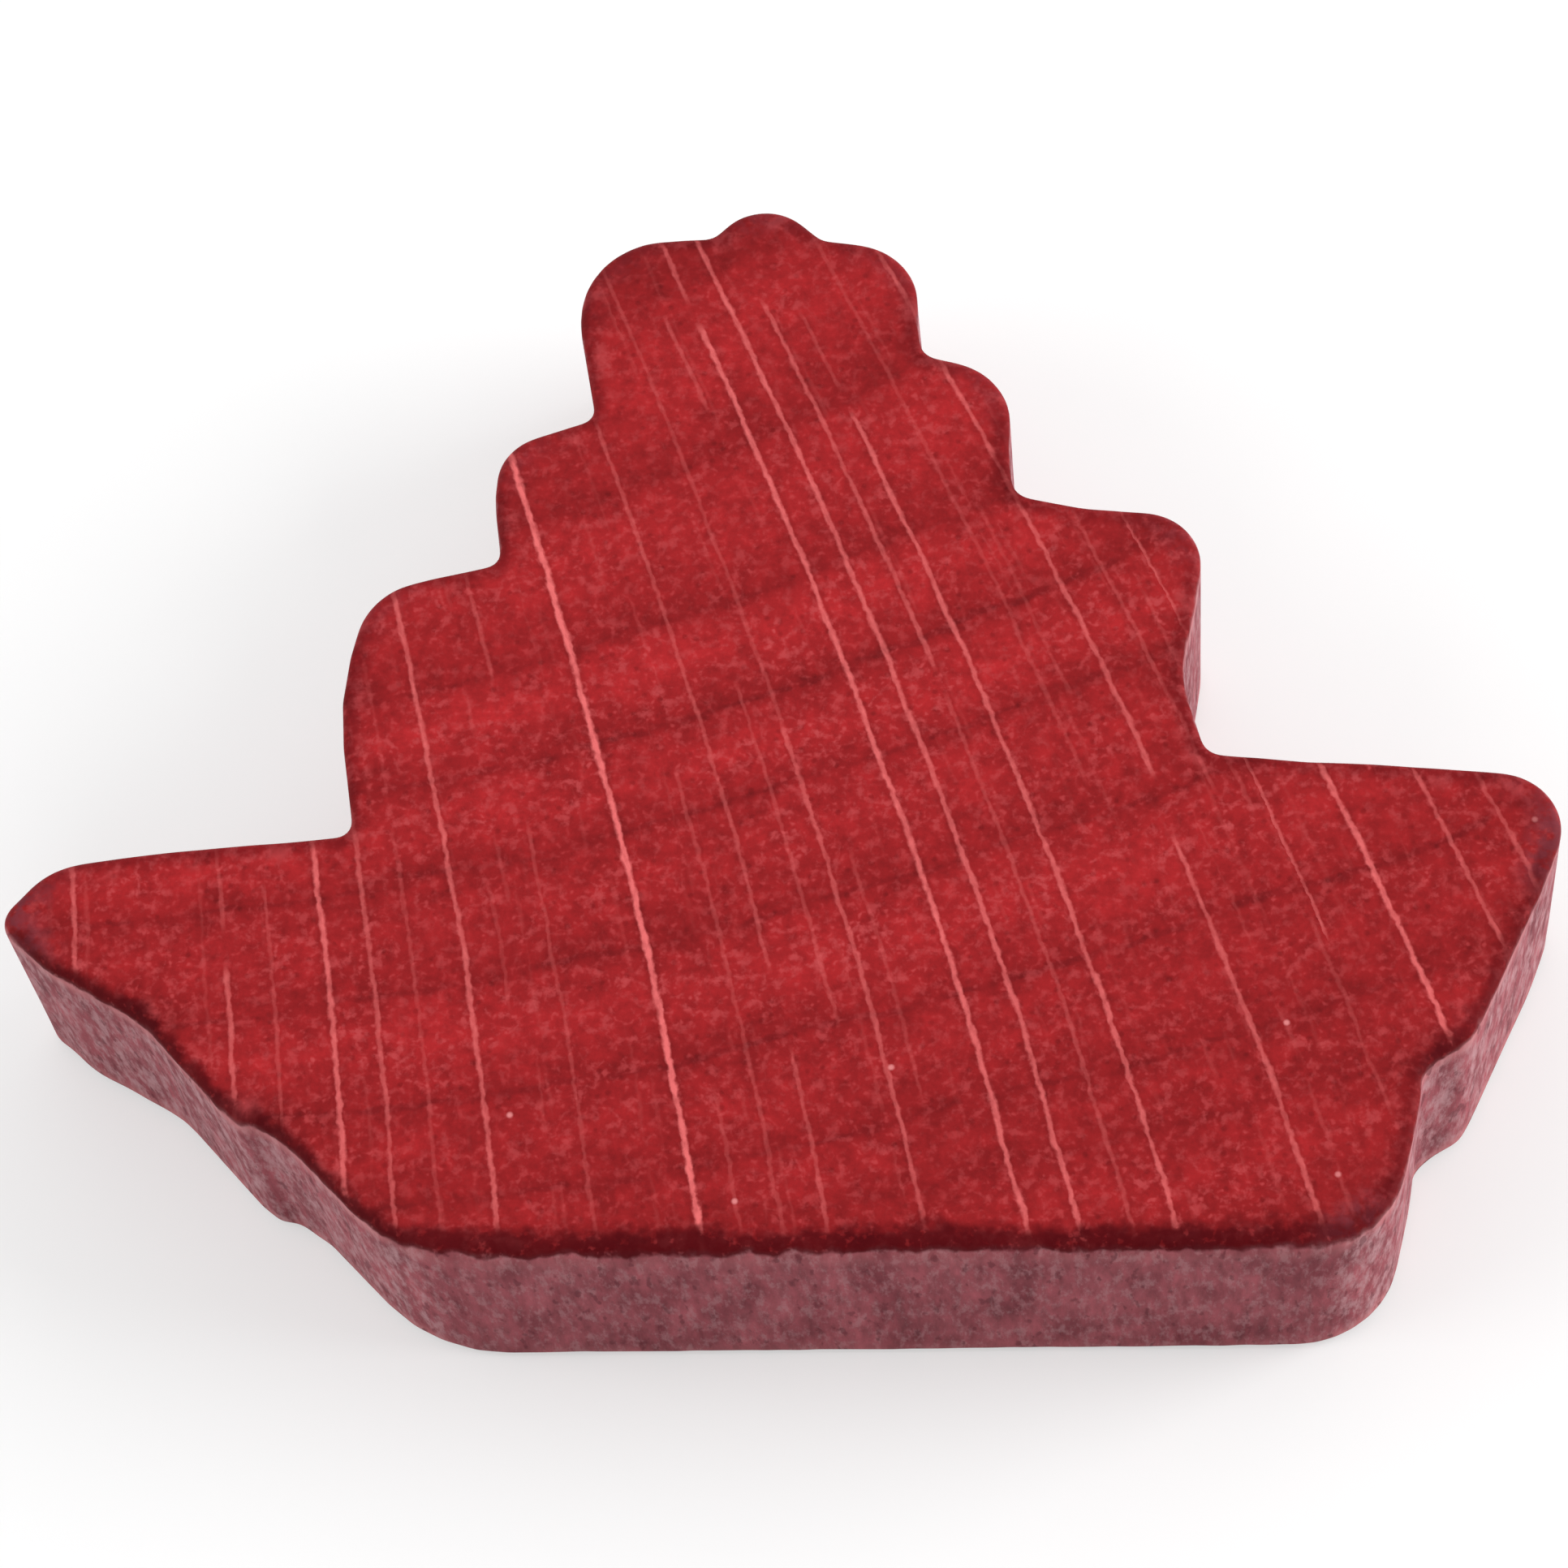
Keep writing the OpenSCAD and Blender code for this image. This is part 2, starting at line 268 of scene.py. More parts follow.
# How strong the band is as an edge turns to the keel, where it adds painted shade to the dye, and as it
# nears a corner, and how much of it shows
BAND_BY_FACING = (0.2, 0.7, 0.5, 1.0)
BAND_BY_CORNER = (0.1, 0.7, 1.0, 0.15)
BAND_SHARE = 0.97

# Values that a noise usually lies between
USUAL = (0.25, 0.75)
# Noises of the wood: waves to the millimetre, levels of detail, roughness and twist, then the values
# between which what they draw goes from its first to its last result, and these two results
NOISES = {
    "ray wander": (0.5, 1.0, 0.5, 0.0, 0.0, 1.0, -0.05, 0.05),
    "ray jag": (4.0, 3.0, 0.5, 0.0, 0.0, 1.0, -0.045, 0.045),
    "ray width": (1.6, 2.0, 0.5, 0.0, *USUAL, 0.7, 1.3),
    "ray fading": (0.8, 3.0, 0.65, 0.0, 0.3, 0.6, 0.74, 1.06),
    "ray beads": (3.6, 2.0, 0.5, 0.0, *USUAL, 0.66, 1.26),
    "faint breaks": (1.0, 3.0, 0.5, 0.0, 0.48, 0.64, 0.0, 1.0),
    "ring wander": (0.22, 1.0, 0.5, 0.0, 0.0, 1.0, -0.35, 0.35),
    "ring jag": (1.6, 2.0, 0.5, 0.0, 0.0, 1.0, -0.2, 0.2),
    "ring breaks": (1.1, 2.0, 0.5, 0.0, 0.36, 0.6, 0.2, 1.0),
    "band beginning": (2.2, 2.0, 0.5, 0.0, 0.0, 1.0, -0.34, 0.34),
    "band ending": (1.8, 2.0, 0.5, 0.0, 0.0, 1.0, -0.2, 0.2),
    "band width": (0.25, 1.0, 0.5, 0.0, 0.0, 1.0, -0.2, 0.2),
    "band patches": (0.8, 2.0, 0.5, 0.0, *USUAL, 0.8, 1.0),
    "band chips": (4.5, 2.0, 0.5, 0.0, 0.56, 0.72, 1.0, 0.6),
    "mottle": (2.2, 4.0, 0.65, 0.0, *USUAL, 0.7, 1.3),
    "clouds": (0.3, 2.0, 0.5, 0.0, *USUAL, 0.91, 1.09),
    "flecks": (3.0, 3.0, 0.6, 0.2, 0.48, 0.7, 0.0, 1.0),
    "dots": (4.4, 1.0, 0.5, 0.0, 0.6, 0.78, 0.0, 1.0),
    "fleck patches": (0.8, 2.0, 0.5, 0.0, 0.35, 0.65, 0.45, 1.0),
    "rim flecks": (1.3, 4.0, 0.65, 0.0, 0.5, 0.66, 0.0, 1.0),
    "rubbing": (3.0, 3.0, 0.5, 0.0, 0.33, 0.6, 0.0, 1.0),
    "fibres": (3.4, 4.0, 0.7, 0.0, *USUAL, 0.64, 1.36),
    "wall clouds": (0.9, 2.0, 0.5, 0.0, 0.3, 0.7, 0.0, 1.0),
    "dust": (3.2, 4.0, 0.7, 0.0, 0.38, 0.7, 0.0, 1.0),
    "cracks": (3.6, 3.0, 0.5, 0.0, 0.41, 0.31, 0.0, 0.6),
}
# How much slower a noise runs through the slice than across it
FACE_DRAW = 0.1
WALL_DRAW = {"fibres": 0.25, "wall clouds": 0.5, "dust": 0.35, "cracks": 0.4}
# How many millimetres a degree counts for in the noises along a ray
RAY_DRAW = 4.0

# Flecks of the face: their share, and how it rises with the distance from the pith in mm
# and with a ring's lightness
FLECK_SHARE = 0.75
FLECKS_BY_RADIUS = (80.0, 95.0, 0.55, 1.0)
FLECKS_BY_TONE = (0.0, 0.8, 0.55, 1.0)
RIM_FLECK_SHARE = 0.45

# How far an edge has to face the keel to begin to count as the keel's, and to count in full
KEEL_FACING = (0.85, 0.99)
# The wall elsewhere and at the keel: share of dust, which away from the keel is painted sheen too, and share
# of the rubbed rim, which is painted highlight too
DUST_AND_SHEEN_SHARE = (0.85, 0.36)
WALL_RIM_AND_HIGHLIGHT_SHARE = (0.65, 0.18)
# Values of the noises between which the keel's dust and sheen and the wall's rubbed, highlighted rim set in
KEEL_DUST = (0.47, 0.65)
RIM_CLOUDS = (0.1, 0.55)

# Heights of the fine structure against each other, and its height and strength as a whole
MOTTLE_HEIGHT = 0.5
RAY_HEIGHT = 0.35
PORE_HEIGHT = -0.4
FIBRE_HEIGHT = 0.3
BUMP_HEIGHT = 0.04 * MM
BUMP_STRENGTH = 0.35
# Roughness of the wood from its lowest to its highest, and its gloss
WOOD_ROUGHNESS = (0.55, 0.72)
WOOD_GLOSS = 0.05

# The floor's card: radius, corners, and its fibres, as waves to the metre, values, colour and share
FLOOR_RADIUS = 1.5
FLOOR_CORNERS = 96
CARD_WAVES = 900.0
CARD_VALUES = (0.3, 0.7)
CARD_FIBRE = (0.85, 0.85, 0.85)
CARD_FIBRE_SHARE = 0.02
CARD_ROUGHNESS = (0.8, 0.9)
CARD_GLOSS = 0.1
# Distances from the middle between which the floor goes over into the white of the backdrop
FLOOR_FADE = (0.06, 0.2)
# Part of a direction to the keel's or the masthead's side at which the sky's change of strength ends
SKY_REACH = 0.7
WHITE = (1.0, 1.0, 1.0, 1.0)
# Width of the camera's sensor in mm, and the nearest and farthest that it sees
SENSOR_WIDTH = 36.0
SIGHT = (0.005, 50.0)


def number(name, description, default, **more):
    """A property that holds one number."""
    return bpy.props.FloatProperty(name=name, description=description, default=default, **more)


def numbers(name, description, default, **more):
    """A property that holds several numbers."""
    return bpy.props.FloatVectorProperty(name=name, description=description, default=default, **more)


def wood_length(name, description, default):
    """A property that holds a length of the wood."""
    return number(name, description, default, precision=6, unit="LENGTH")


def dye_colour(name, description, default):
    """A property that holds a colour."""
    return numbers(name, description, default, subtype="COLOR", min=0.0, max=1.0)


def position(name, description, default):
    """A property that holds a place."""
    return numbers(name, description, default, size=len(default), subtype="XYZ", unit="LENGTH")


class ShipShape(bpy.types.PropertyGroup):
    """Sizes of the piece's worn edges and uneven faces."""

    outline_step: wood_length(
        "Outline step", "Distance between points along the outline", 0.1 * MM)
    corner_softening: wood_length(
        "Corner softening", "Distance over which the outline's corners are softened", 0.1 * MM)
    edge_radius: wood_length(
        "Edge radius", "Usual radius of the worn edges around both faces", 0.22 * MM)
    keel_wear: wood_length(
        "Keel wear", "How much larger that radius is on the edges that face the keel", 0.18 * MM)
    corner_wear: wood_length(
        "Corner wear", "How much larger that radius is on the outline's sharpest corners", 0.22 * MM)
    edge_wear: wood_length(
        "Edge wear", "How far the edge radius goes up and down along the outline", 0.07 * MM)
    wall_ripple: wood_length(
        "Wall ripple", "Height of the ripples that the cutter left on the wall", 0.012 * MM)
    face_relief: wood_length(
        "Face relief", "Height of the waves that the saw left on the faces", 0.01 * MM)


class WoodDye(bpy.types.PropertyGroup):
    """Colours of the dyed wood."""

    early_wood: dye_colour(
        "Early wood", "Lightest part of a growth ring on the faces", (0.362, 0.017, 0.020))
    late_wood: dye_colour(
        "Late wood", "Darkest part of a growth ring on the faces", (0.238, 0.0108, 0.0127))
    ring_line: dye_colour(
        "Ring line", "Thin line that ends a growth ring", (0.165, 0.008, 0.010))
    ray: dye_colour(
        "Ray", "Wood rays, which take less dye", (0.720, 0.140, 0.140))
    fleck: dye_colour(
        "Fleck", "Pale flecks between the rays", (0.500, 0.068, 0.073))
    speck: dye_colour(
        "Speck", "A few bare specks on the front face", (0.780, 0.270, 0.270))
    # Rubbed wood beside worn corners and spots, greyer and darker as painted shade and sheen of the rounded
    # edge
    rubbed: dye_colour(
        "Rubbed", "Faces where handling has rubbed the edge", (0.185, 0.028, 0.038))
    # Dye gathered along the worn edges, darker and wider on edges that face the keel, which is painted shade
    edge: dye_colour(
        "Edge", "Dye gathered along the worn edges", (0.060, 0.0005, 0.0025))
    wall_light: dye_colour(
        "Wall, light", "Light patches in the long grain of the wall", (0.300, 0.072, 0.088))
    wall_dark: dye_colour(
        "Wall, dark", "Dark patches in the long grain of the wall", (0.180, 0.036, 0.047))
    wall_crack: dye_colour(
        "Wall, cracks", "Short cracks in the long grain of the wall", (0.110, 0.020, 0.028))
    # Pale dust on the wall, which away from the keel also stands in for painted sheen of walls seen at a
    # slant
    wall_dust_and_sheen: dye_colour(
        "Wall, dust", "Pale dust that clings to the wall", (0.420, 0.230, 0.245))
    # Rubbed wood of the wall beside the edges, lighter away from the keel as a painted highlight
    wall_rim_and_highlight: dye_colour(
        "Wall, rim", "Rubbed wood of the wall beside the edges", (0.500, 0.180, 0.188))


class WoodGrain(bpy.types.PropertyGroup):
    """Place of the tree's pith and the run of the grain."""

    pith: position(
        "Pith", "Where the tree's pith lay, in plan", (-26.035 * MM, 89.558 * MM))
    scale: number(
        "Grain scale", "Size of the grain against the list of rays and rings", 0.9944)
    ray_bow: number(
        "Ray bow", "Bow of the rays, in degrees per square millimetre from their middle", 0.002, precision=5)
    ray_middle: wood_length(
        "Ray middle", "Distance from the pith at which the rays run straight", 99.0 * MM)
    ray_width: wood_length(
        "Ray width", "Width of a ray where it is half as strong as in its middle", 0.15 * MM)
    ray_lean: number(
        "Ray lean", "Lean of the rays through the slice, in degrees per millimetre", 0.05, precision=3)
    ring_skew: number(
        "Ring skew", "How much the rings spread from the bow to the stern, per degree", 0.0145, precision=4)
    ring_middle: number(
        "Ring middle", "Angle about the pith, in degrees, from which the rings spread", 15.0)


class StageSetting(bpy.types.PropertyGroup):
    """Camera, light and floor."""

    camera_place: position(
        "Camera place", "Where the camera stands", (9.58 * MM, -60.15 * MM, 121.99 * MM))
    camera_turn: numbers(
        "Camera turn", "How the camera is turned",
        (math.radians(26.69), math.radians(4.219), math.radians(0.927)), subtype="EULER", unit="ROTATION")
    lens: number(
        "Lens", "Focal length in millimetres on a 36 mm wide sensor", 114.87)
    sky_before: number(
        "Sky before", "Strength of the light from all around, on the keel's side", 0.45)
    sky_behind: number(
        "Sky behind", "Strength of the light from all around, on the masthead's side", 0.95)
    right_lamp: number(
        "Right lamp", "Power of the large lamp at the stern", 6.4, unit="POWER")
    right_lamp_place: position(
        "Right lamp's place", "Where the large lamp at the stern hangs", (0.74, 0.10, 0.30))
    left_lamp: number(
        "Left lamp", "Power of the large lamp at the bow", 2.5, unit="POWER")
    left_lamp_place: position(
        "Left lamp's place", "Where the large lamp at the bow hangs", (-0.70, -0.10, 0.40))
    lamp_size: number(
        "Lamp size", "Width of both lamps", 0.6, unit="LENGTH")
    floor: dye_colour(
        "Floor", "Colour of the floor", (0.93, 0.93, 0.93))
    floor_white: number(
        "Floor white", "Share of plain white in the floor, which thins the shadow", 0.42,
        subtype="FACTOR", min=0.0, max=1.0)


def wall_outline(mesh):
    """The outline in plan, anticlockwise, along the upper end of the solid's wall."""
    wall = [p for p in mesh.polygons if abs(p.normal.z) < UPRIGHT]
    if not wall:
        raise RuntimeError("the packed solid has no upright wall")
    top = max(mesh.vertices[i].co.z for p in wall for i in p.vertices)
    beside = {}
    places = {}
    for polygon in wall:
        for ends in polygon.edge_keys:
            points = [mesh.vertices[i].co for i in ends]
            if any(abs(p.z - top) > LEVEL for p in points):
                continue
            a, b = [(round(p.x * PLACE_STEPS), round(p.y * PLACE_STEPS)) for p in points]
            places[a], places[b] = points[0].xy, points[1].xy
            beside.setdefault(a, set()).add(b)
            beside.setdefault(b, set()).add(a)
    first = min(beside)
    chain = [first, min(beside[first])]
    while chain[-1] != first:
        onward = beside[chain[-1]] - {chain[-2]}
        if len(onward) != 1:
            raise RuntimeError("the outline of the packed solid isn't one closed line")
        chain.append(onward.pop())
    loop = np.array([places[k] for k in chain[:-1]], float)
    following = np.roll(loop, -1, 0)
    area = (loop[:, 0] * following[:, 1] - following[:, 0] * loop[:, 1]).sum()
    return loop if area > 0 else loop[::-1]


def soften(values, spread):
    """Values around a closed line, smoothed over spread points."""
    n = len(values)
    wave = 2 * np.pi * np.arange(n // 2 + 1) / n
    damp = np.exp(-0.5 * (wave * spread) ** 2)
    if values.ndim == 2:
        damp = damp[:, None]
    return np.fft.irfft(np.fft.rfft(values, axis=0) * damp, n, axis=0)


def outline_run(points, step):
    """Outward normals and convex radii along the outline."""
    ahead = np.roll(points, -1, 0) - points
    ahead /= np.linalg.norm(ahead, axis=1)[:, None]
    behind = np.roll(ahead, 1, 0)
    tangent = ahead + behind
    tangent /= np.linalg.norm(tangent, axis=1)[:, None]
    normals = np.stack([tangent[:, 1], -tangent[:, 0]], 1)
    turn = behind[:, 0] * ahead[:, 1] - behind[:, 1] * ahead[:, 0]
    return normals, step / np.maximum(turn, LEAST_TURN)


def even_outline(loop, step, softening):
    """The outline at even steps, with its corners softened and its dents and bulges."""
    closed = np.vstack([loop, loop[:1]])
    along = np.concatenate([[0.0], np.cumsum(np.linalg.norm(np.diff(closed, axis=0), axis=1))])
    n = round(along[-1] / step)
    at = np.linspace(0.0, along[-1], n, endpoint=False)
    points = np.stack([np.interp(at, along, closed[:, k]) for k in (0, 1)], 1)
    points = soften(points, softening / step)
    shift = np.zeros(n)
    for x, y, outward, half_length in DENTS:
        nearest = np.argmin(np.hypot(points[:, 0] - x * MM, points[:, 1] - y * MM))
        steps = np.abs(np.arange(n) - nearest)
        away = np.minimum(steps, n - steps) * step
        shift += outward * MM * np.exp(-(away / (half_length * MM)) ** 2)
    return points + shift[:, None] * outline_run(points, step)[0]


def waver(points, size, seed):
    """Smooth noise from -1 to 1 at points in plan, with waves of about the given size."""
    return np.array([noise.noise(Vector((p[0] / size, p[1] / size, seed))) for p in points])


def worn_radius(points, radii, keelward, corner, shape, seed):
    """Radius of a worn edge at each point of the outline."""
    begin, full = KEEL_WEAR_FACING
    keel = np.clip((keelward - begin) / (full - begin), 0.0, 1.0)
    short = SHORT_SHARE + SHORT_SHARE_KEEL * keel
    uneven = LONG_SHARE * waver(points, LONG_WEAR, seed)
    uneven += short * waver(points, SHORT_WEAR, seed + SHORT_WEAR_SEED)
    usual = shape.edge_radius + shape.keel_wear * keel + shape.corner_wear * corner
    usual += shape.edge_wear * uneven
    beside = range(-EDGE_NEIGHBOURS, EDGE_NEIGHBOURS + 1)
    most = EDGE_SHARE * np.minimum.reduce([np.roll(radii, k) for k in beside])
    return soften(np.clip(usual, LEAST_EDGE, np.maximum(most, LEAST_EDGE)), RADIUS_SPREAD)


def ripple(points, heights, size):
    """How far the cutter's ripples set the wall back at each point."""
    return size * np.array([
        noise.noise(Vector((x / RIPPLE_WIDTH, y / RIPPLE_WIDTH, z / RIPPLE_LENGTH)))
        for (x, y), z in zip(points, heights)])


def wall_rings(points, back, front, shape):
    """Rings of points from the back face to the front: inset, height and distance from the worn edge."""
    arc = [math.pi / 2 * k / EDGE_STEPS for k in range(EDGE_STEPS + 1)]
    rings = []
    for a in arc:
        rings.append((back * (1 - math.sin(a)), back * (1 - math.cos(a)), back * (a - HALF_ARC)))
    for share in WALL_LEVELS:
        height = back + share * (THICKNESS - front - back)
        rise = min(1.0, RIPPLE_RISE * share, RIPPLE_RISE * (1 - share))
        from_back = height - back + HALF_ARC * back
        from_front = THICKNESS - front - height + HALF_ARC * front
        inset = ripple(points, height, shape.wall_ripple) * rise
        rings.append((inset, height, np.minimum(from_back, from_front)))
    for a in reversed(arc):
        height = THICKNESS - front * (1 - math.cos(a))
        rings.append((front * (1 - math.sin(a)), height, front * (a - HALF_ARC)))
    return rings


class Shell:
    """Points and faces of the piece while it is made, with each point's values for the wood."""

    def __init__(self):
        self.points = []
        self.faces = []
        self.edge_distance = []
        self.outline_point = []

    def add(self, point, edge_distance, outline_point):
        """Adds a point and gives its number."""
        self.points.append(point)
        self.edge_distance.append(edge_distance)
        self.outline_point.append(outline_point)
        return len(self.points) - 1


def add_wall(shell, points, normals, rings):
    """Lays the rings of points and joins them to the wall and its two rounded edges."""
    n = len(points)
    for insets, heights, distances in rings:
        places = points - insets[:, None] * normals
        for i in range(n):
            shell.add((places[i, 0], places[i, 1], heights[i]), distances[i], i)
    for k in range(len(rings) - 1):
        for i in range(n):
            j = (i + 1) % n
            shell.faces.append((k * n + i, k * n + j, (k + 1) * n + j, (k + 1) * n + i))


def inside(points, loop):
    """Which points lie inside the closed line."""
    x, y = points[:, 0], points[:, 1]
    result = np.zeros(len(points), bool)
    for (ax, ay), (bx, by) in zip(loop, np.roll(loop, -1, 0)):
        if ay != by:
            crosses = ((ay > y) != (by > y)) & (x < (bx - ax) * (y - ay) / (by - ay) + ax)
            result ^= crosses
    return result


def tree_of(points):
    """A search tree of points in plan."""
    tree = kdtree.KDTree(len(points))
    for i, p in enumerate(points):
        tree.insert((p[0], p[1], 0.0), i)
    tree.balance()
    return tree


def face_points(edge, normals):
    """Points of one face inside its edge: rows beside the edge, then an even spread of points."""
    nearest = tree_of(edge)
    found = []
    for row, inset in enumerate(FACE_ROWS):
        row_points = (edge - inset * normals)[::1 + row // 2]
        clear = ROW_CLEARANCE * inset
        found += [p for p in row_points if nearest.find((p[0], p[1], 0.0))[2] > clear]
    low, high = edge.min(0), edge.max(0)
    across = np.arange(low[0], high[0], FACE_STEP)
    up = np.arange(low[1], high[1], FACE_ROW_STEP)
    grid = np.array([(x + (k % 2) * FACE_STEP / 2, y) for k, y in enumerate(up) for x in across])
    grid = grid[inside(grid, edge)]
    clear = FACE_ROWS[-1] + FACE_STEP / 2
    found += [p for p in grid if nearest.find((p[0], p[1], 0.0))[2] > clear]
    points = np.array(found)
    return points[inside(points, edge)]


def add_face(shell, first, radius, normals, outline, relief, is_front):
    """Fills the front or the back face inside its edge, whose points start at first."""
    n = len(normals)
    level, outward, seed = (THICKNESS, 1, FACE_SEEDS[1]) if is_front else (0.0, -1, FACE_SEEDS[0])
    edge = np.array([p[:2] for p in shell.points[first:first + n]])
    flat = [Vector(p) for p in np.vstack([edge, face_points(edge, normals)])]
    sides = [(i, (i + 1) % n) for i in range(n)]
    places, _, triangles, came_from, _, _ = delaunay_2d_cdt(flat, sides, [], 1, SAME_POINT)
    number = {}
    for j, sources in enumerate(came_from):
        on_edge = [s for s in sources if s < n]
        if on_edge:
            number[j] = first + on_edge[0]
            continue
        x, y = places[j]
        _, nearest, gap = outline.find((x, y, 0.0))
        rise = min(1.0, max(0.0, (gap - radius[nearest]) / RELIEF_RISE))
        wave = noise.noise(Vector((x / RELIEF_LENGTH, y / RELIEF_WIDTH, seed)))
        height = level + outward * relief * rise * (wave - 1.0) / 2
        distance = radius[nearest] - gap - HALF_ARC * radius[nearest]
        number[j] = shell.add((x, y, height), distance, nearest)
    for triangle in triangles:
        (ax, ay), (bx, by), (cx, cy) = (places[i] for i in triangle)
        turn = (bx - ax) * (cy - ay) - (by - ay) * (cx - ax)
        corners = [number[i] for i in triangle]
        shell.faces.append(corners if (turn > 0) == is_front else corners[::-1])


def lay_out(mesh, n, rings):
    """Lays the wall and both faces out beside each other on the bake's map."""
    co = np.empty(len(mesh.vertices) * 3)
    mesh.vertices.foreach_get("co", co)
    co = co.reshape(-1, 3)
    low, high = co.min(0)[:2], co.max(0)[:2]
    plan = (co[:, :2] - low) / (high - low)
    first_of_strip = [round(n * k / len(WALL_AREAS)) for k in range(len(WALL_AREAS) + 1)]
    places = []
    for face in mesh.polygons:
        corners = list(face.vertices)
        if len(corners) == 4:
            ring, i = divmod(corners[0], n)
            strip = max(k for k, start in enumerate(first_of_strip[:-1]) if start <= i)
            left, bottom, width, height = WALL_AREAS[strip]
            steps = first_of_strip[strip + 1] - first_of_strip[strip]
            along = i - first_of_strip[strip]
            for a, r in ((along, ring), (along + 1, ring), (along + 1, ring + 1), (along, ring + 1)):
                places.append((left + width * a / steps, bottom + height * r / (rings - 1)))
        else:
            left, bottom, width, height = FRONT_AREA if face.normal.z > 0 else BACK_AREA
            places += [(left + width * plan[c, 0], bottom + height * plan[c, 1]) for c in corners]
    mesh.uv_layers.new(name="OFBake").data.foreach_set("uv", np.array(places).ravel())


def carve(shape):
    """The mesh of the piece: wall, worn edges and both faces, with the values that the wood reads."""
    loop = wall_outline(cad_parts[NODE].data)
    points = even_outline(loop, shape.outline_step, shape.corner_softening)
    normals, radii = outline_run(points, shape.outline_step)
    n = len(points)
    keelward = soften(np.clip(-normals[:, 1], 0.0, 1.0), FACING_SPREAD)
    corner = soften(np.clip(1.0 - radii / WORN_CORNER, 0.0, 1.0), CORNER_SPREAD)
    back, front = (worn_radius(points, radii, keelward, corner, shape, seed) for seed in EDGE_SEEDS)
    rings = wall_rings(points, back, front, shape)

    shell = Shell()
    add_wall(shell, points, normals, rings)
    outline = tree_of(points)
    add_face(shell, 0, back, normals, outline, shape.face_relief, False)
    add_face(shell, (len(rings) - 1) * n, front, normals, outline, shape.face_relief, True)

    mesh = bpy.data.meshes.new("ship_wood")
    mesh.from_pydata(shell.points, [], shell.faces)
    mesh.polygons.foreach_set("use_smooth", np.ones(len(shell.faces), bool))
    for name, values in (
        ("edge_distance", np.array(shell.edge_distance) * PER_MM),
        ("keelward", keelward[shell.outline_point]),
        ("corner", corner[shell.outline_point]),
    ):
        mesh.attributes.new(name, "FLOAT", "POINT").data.foreach_set("value", values)
    lay_out(mesh, n, len(rings))
    if mesh.validate():
        raise RuntimeError("the ship's mesh has faults")
    mesh.update()
    return mesh


class Nodes:
    """Adds nodes to one node tree and links them."""

    def __init__(self, tree):
        self.tree = tree

    def feed(self, socket, value):
        """Links a socket to another node's output, or sets its own value."""
        if isinstance(value, bpy.types.NodeSocket):
            self.tree.links.new(value, socket)
        else:
            socket.default_value = value

    def add(self, kind, inputs=(), **settings):
        """A new node with its settings, and its inputs by name or number."""
        node = self.tree.nodes.new(kind)
        for name, value in settings.items():
            setattr(node, name, value)
        for name, value in dict(inputs).items():
            self.feed(node.inputs[name], value)
        return node

    def math(self, operation, *values):
        """One sum on numbers."""
        return self.add("ShaderNodeMath", dict(enumerate(values)), operation=operation).outputs[0]

    def vector_math(self, operation, *values):
        """One sum on vectors."""
        return self.add("ShaderNodeVectorMath", dict(enumerate(values)), operation=operation).outputs

    def run(self, operation, values):
        """One sum carried on through all the values."""
        result = values[0]
        for value in values[1:]:
            result = self.math(operation, result, value)
        return result

    def product(self, *values):
        """All the values multiplied."""
        return self.run("MULTIPLY", values)

    def total(self, *values):
        """All the values added."""
        return self.run("ADD", values)

    def largest(self, *values):
        """The largest of the values."""
        return self.run("MAXIMUM", values)

    def scale(self, value, low, high, low_result=0.0, high_result=1.0, steps="LINEAR"):
        """A straight ramp from one result at low to another at high."""
        return self.add("ShaderNodeMapRange", {
            "Value": value, "From Min": low, "From Max": high, "To Min": low_result, "To Max": high_result,
        }, interpolation_type=steps).outputs[0]

    def smooth(self, value, low, high, low_result=0.0, high_result=1.0):
        """A soft step from one result at low to another at high."""
        return self.scale(value, low, high, low_result, high_result, "SMOOTHSTEP")

    def join(self, x, y, z):
        """A vector from three numbers."""
        return self.add("ShaderNodeCombineXYZ", {0: x, 1: y, 2: z}).outputs[0]

    def split(self, vector):
        """The three numbers of a vector."""
        return self.add("ShaderNodeSeparateXYZ", {0: vector}).outputs

    def noise(self, vector, name):
        """A noise of the wood by its name, from 0 to 1."""
        waves, detail, roughness, twist = NOISES[name][:4]
        return self.add("ShaderNodeTexNoise", {
            "Vector": vector, "Scale": waves, "Detail": detail, "Roughness": roughness, "Distortion": twist,
        }).outputs[0]

    def tone(self, vector, name):
        """A noise of the wood as a straight ramp between its two results."""
        return self.scale(self.noise(vector, name), *NOISES[name][4:])

    def patches(self, vector, name):
        """A noise of the wood as patches with soft edges."""
        return self.smooth(self.noise(vector, name), *NOISES[name][4:])

    def mix(self, share, first, second, blend="MIX"):
        """One colour laid over another."""
        node = self.add("ShaderNodeMix", data_type="RGBA", blend_type=blend)
        self.feed(node.inputs[0], share)
        self.feed(node.inputs[6], first)
        self.feed(node.inputs[7], second)
        return node.outputs[2]


def rgba(colour):
    """A colour as a node socket takes it."""
    return (*colour, 1.0)


def new_material(name):
    """An empty material, and its nodes."""
    material = bpy.data.materials.new(name)
    material.use_nodes = True
    material.node_tree.nodes.clear()
    return material, Nodes(material.node_tree)


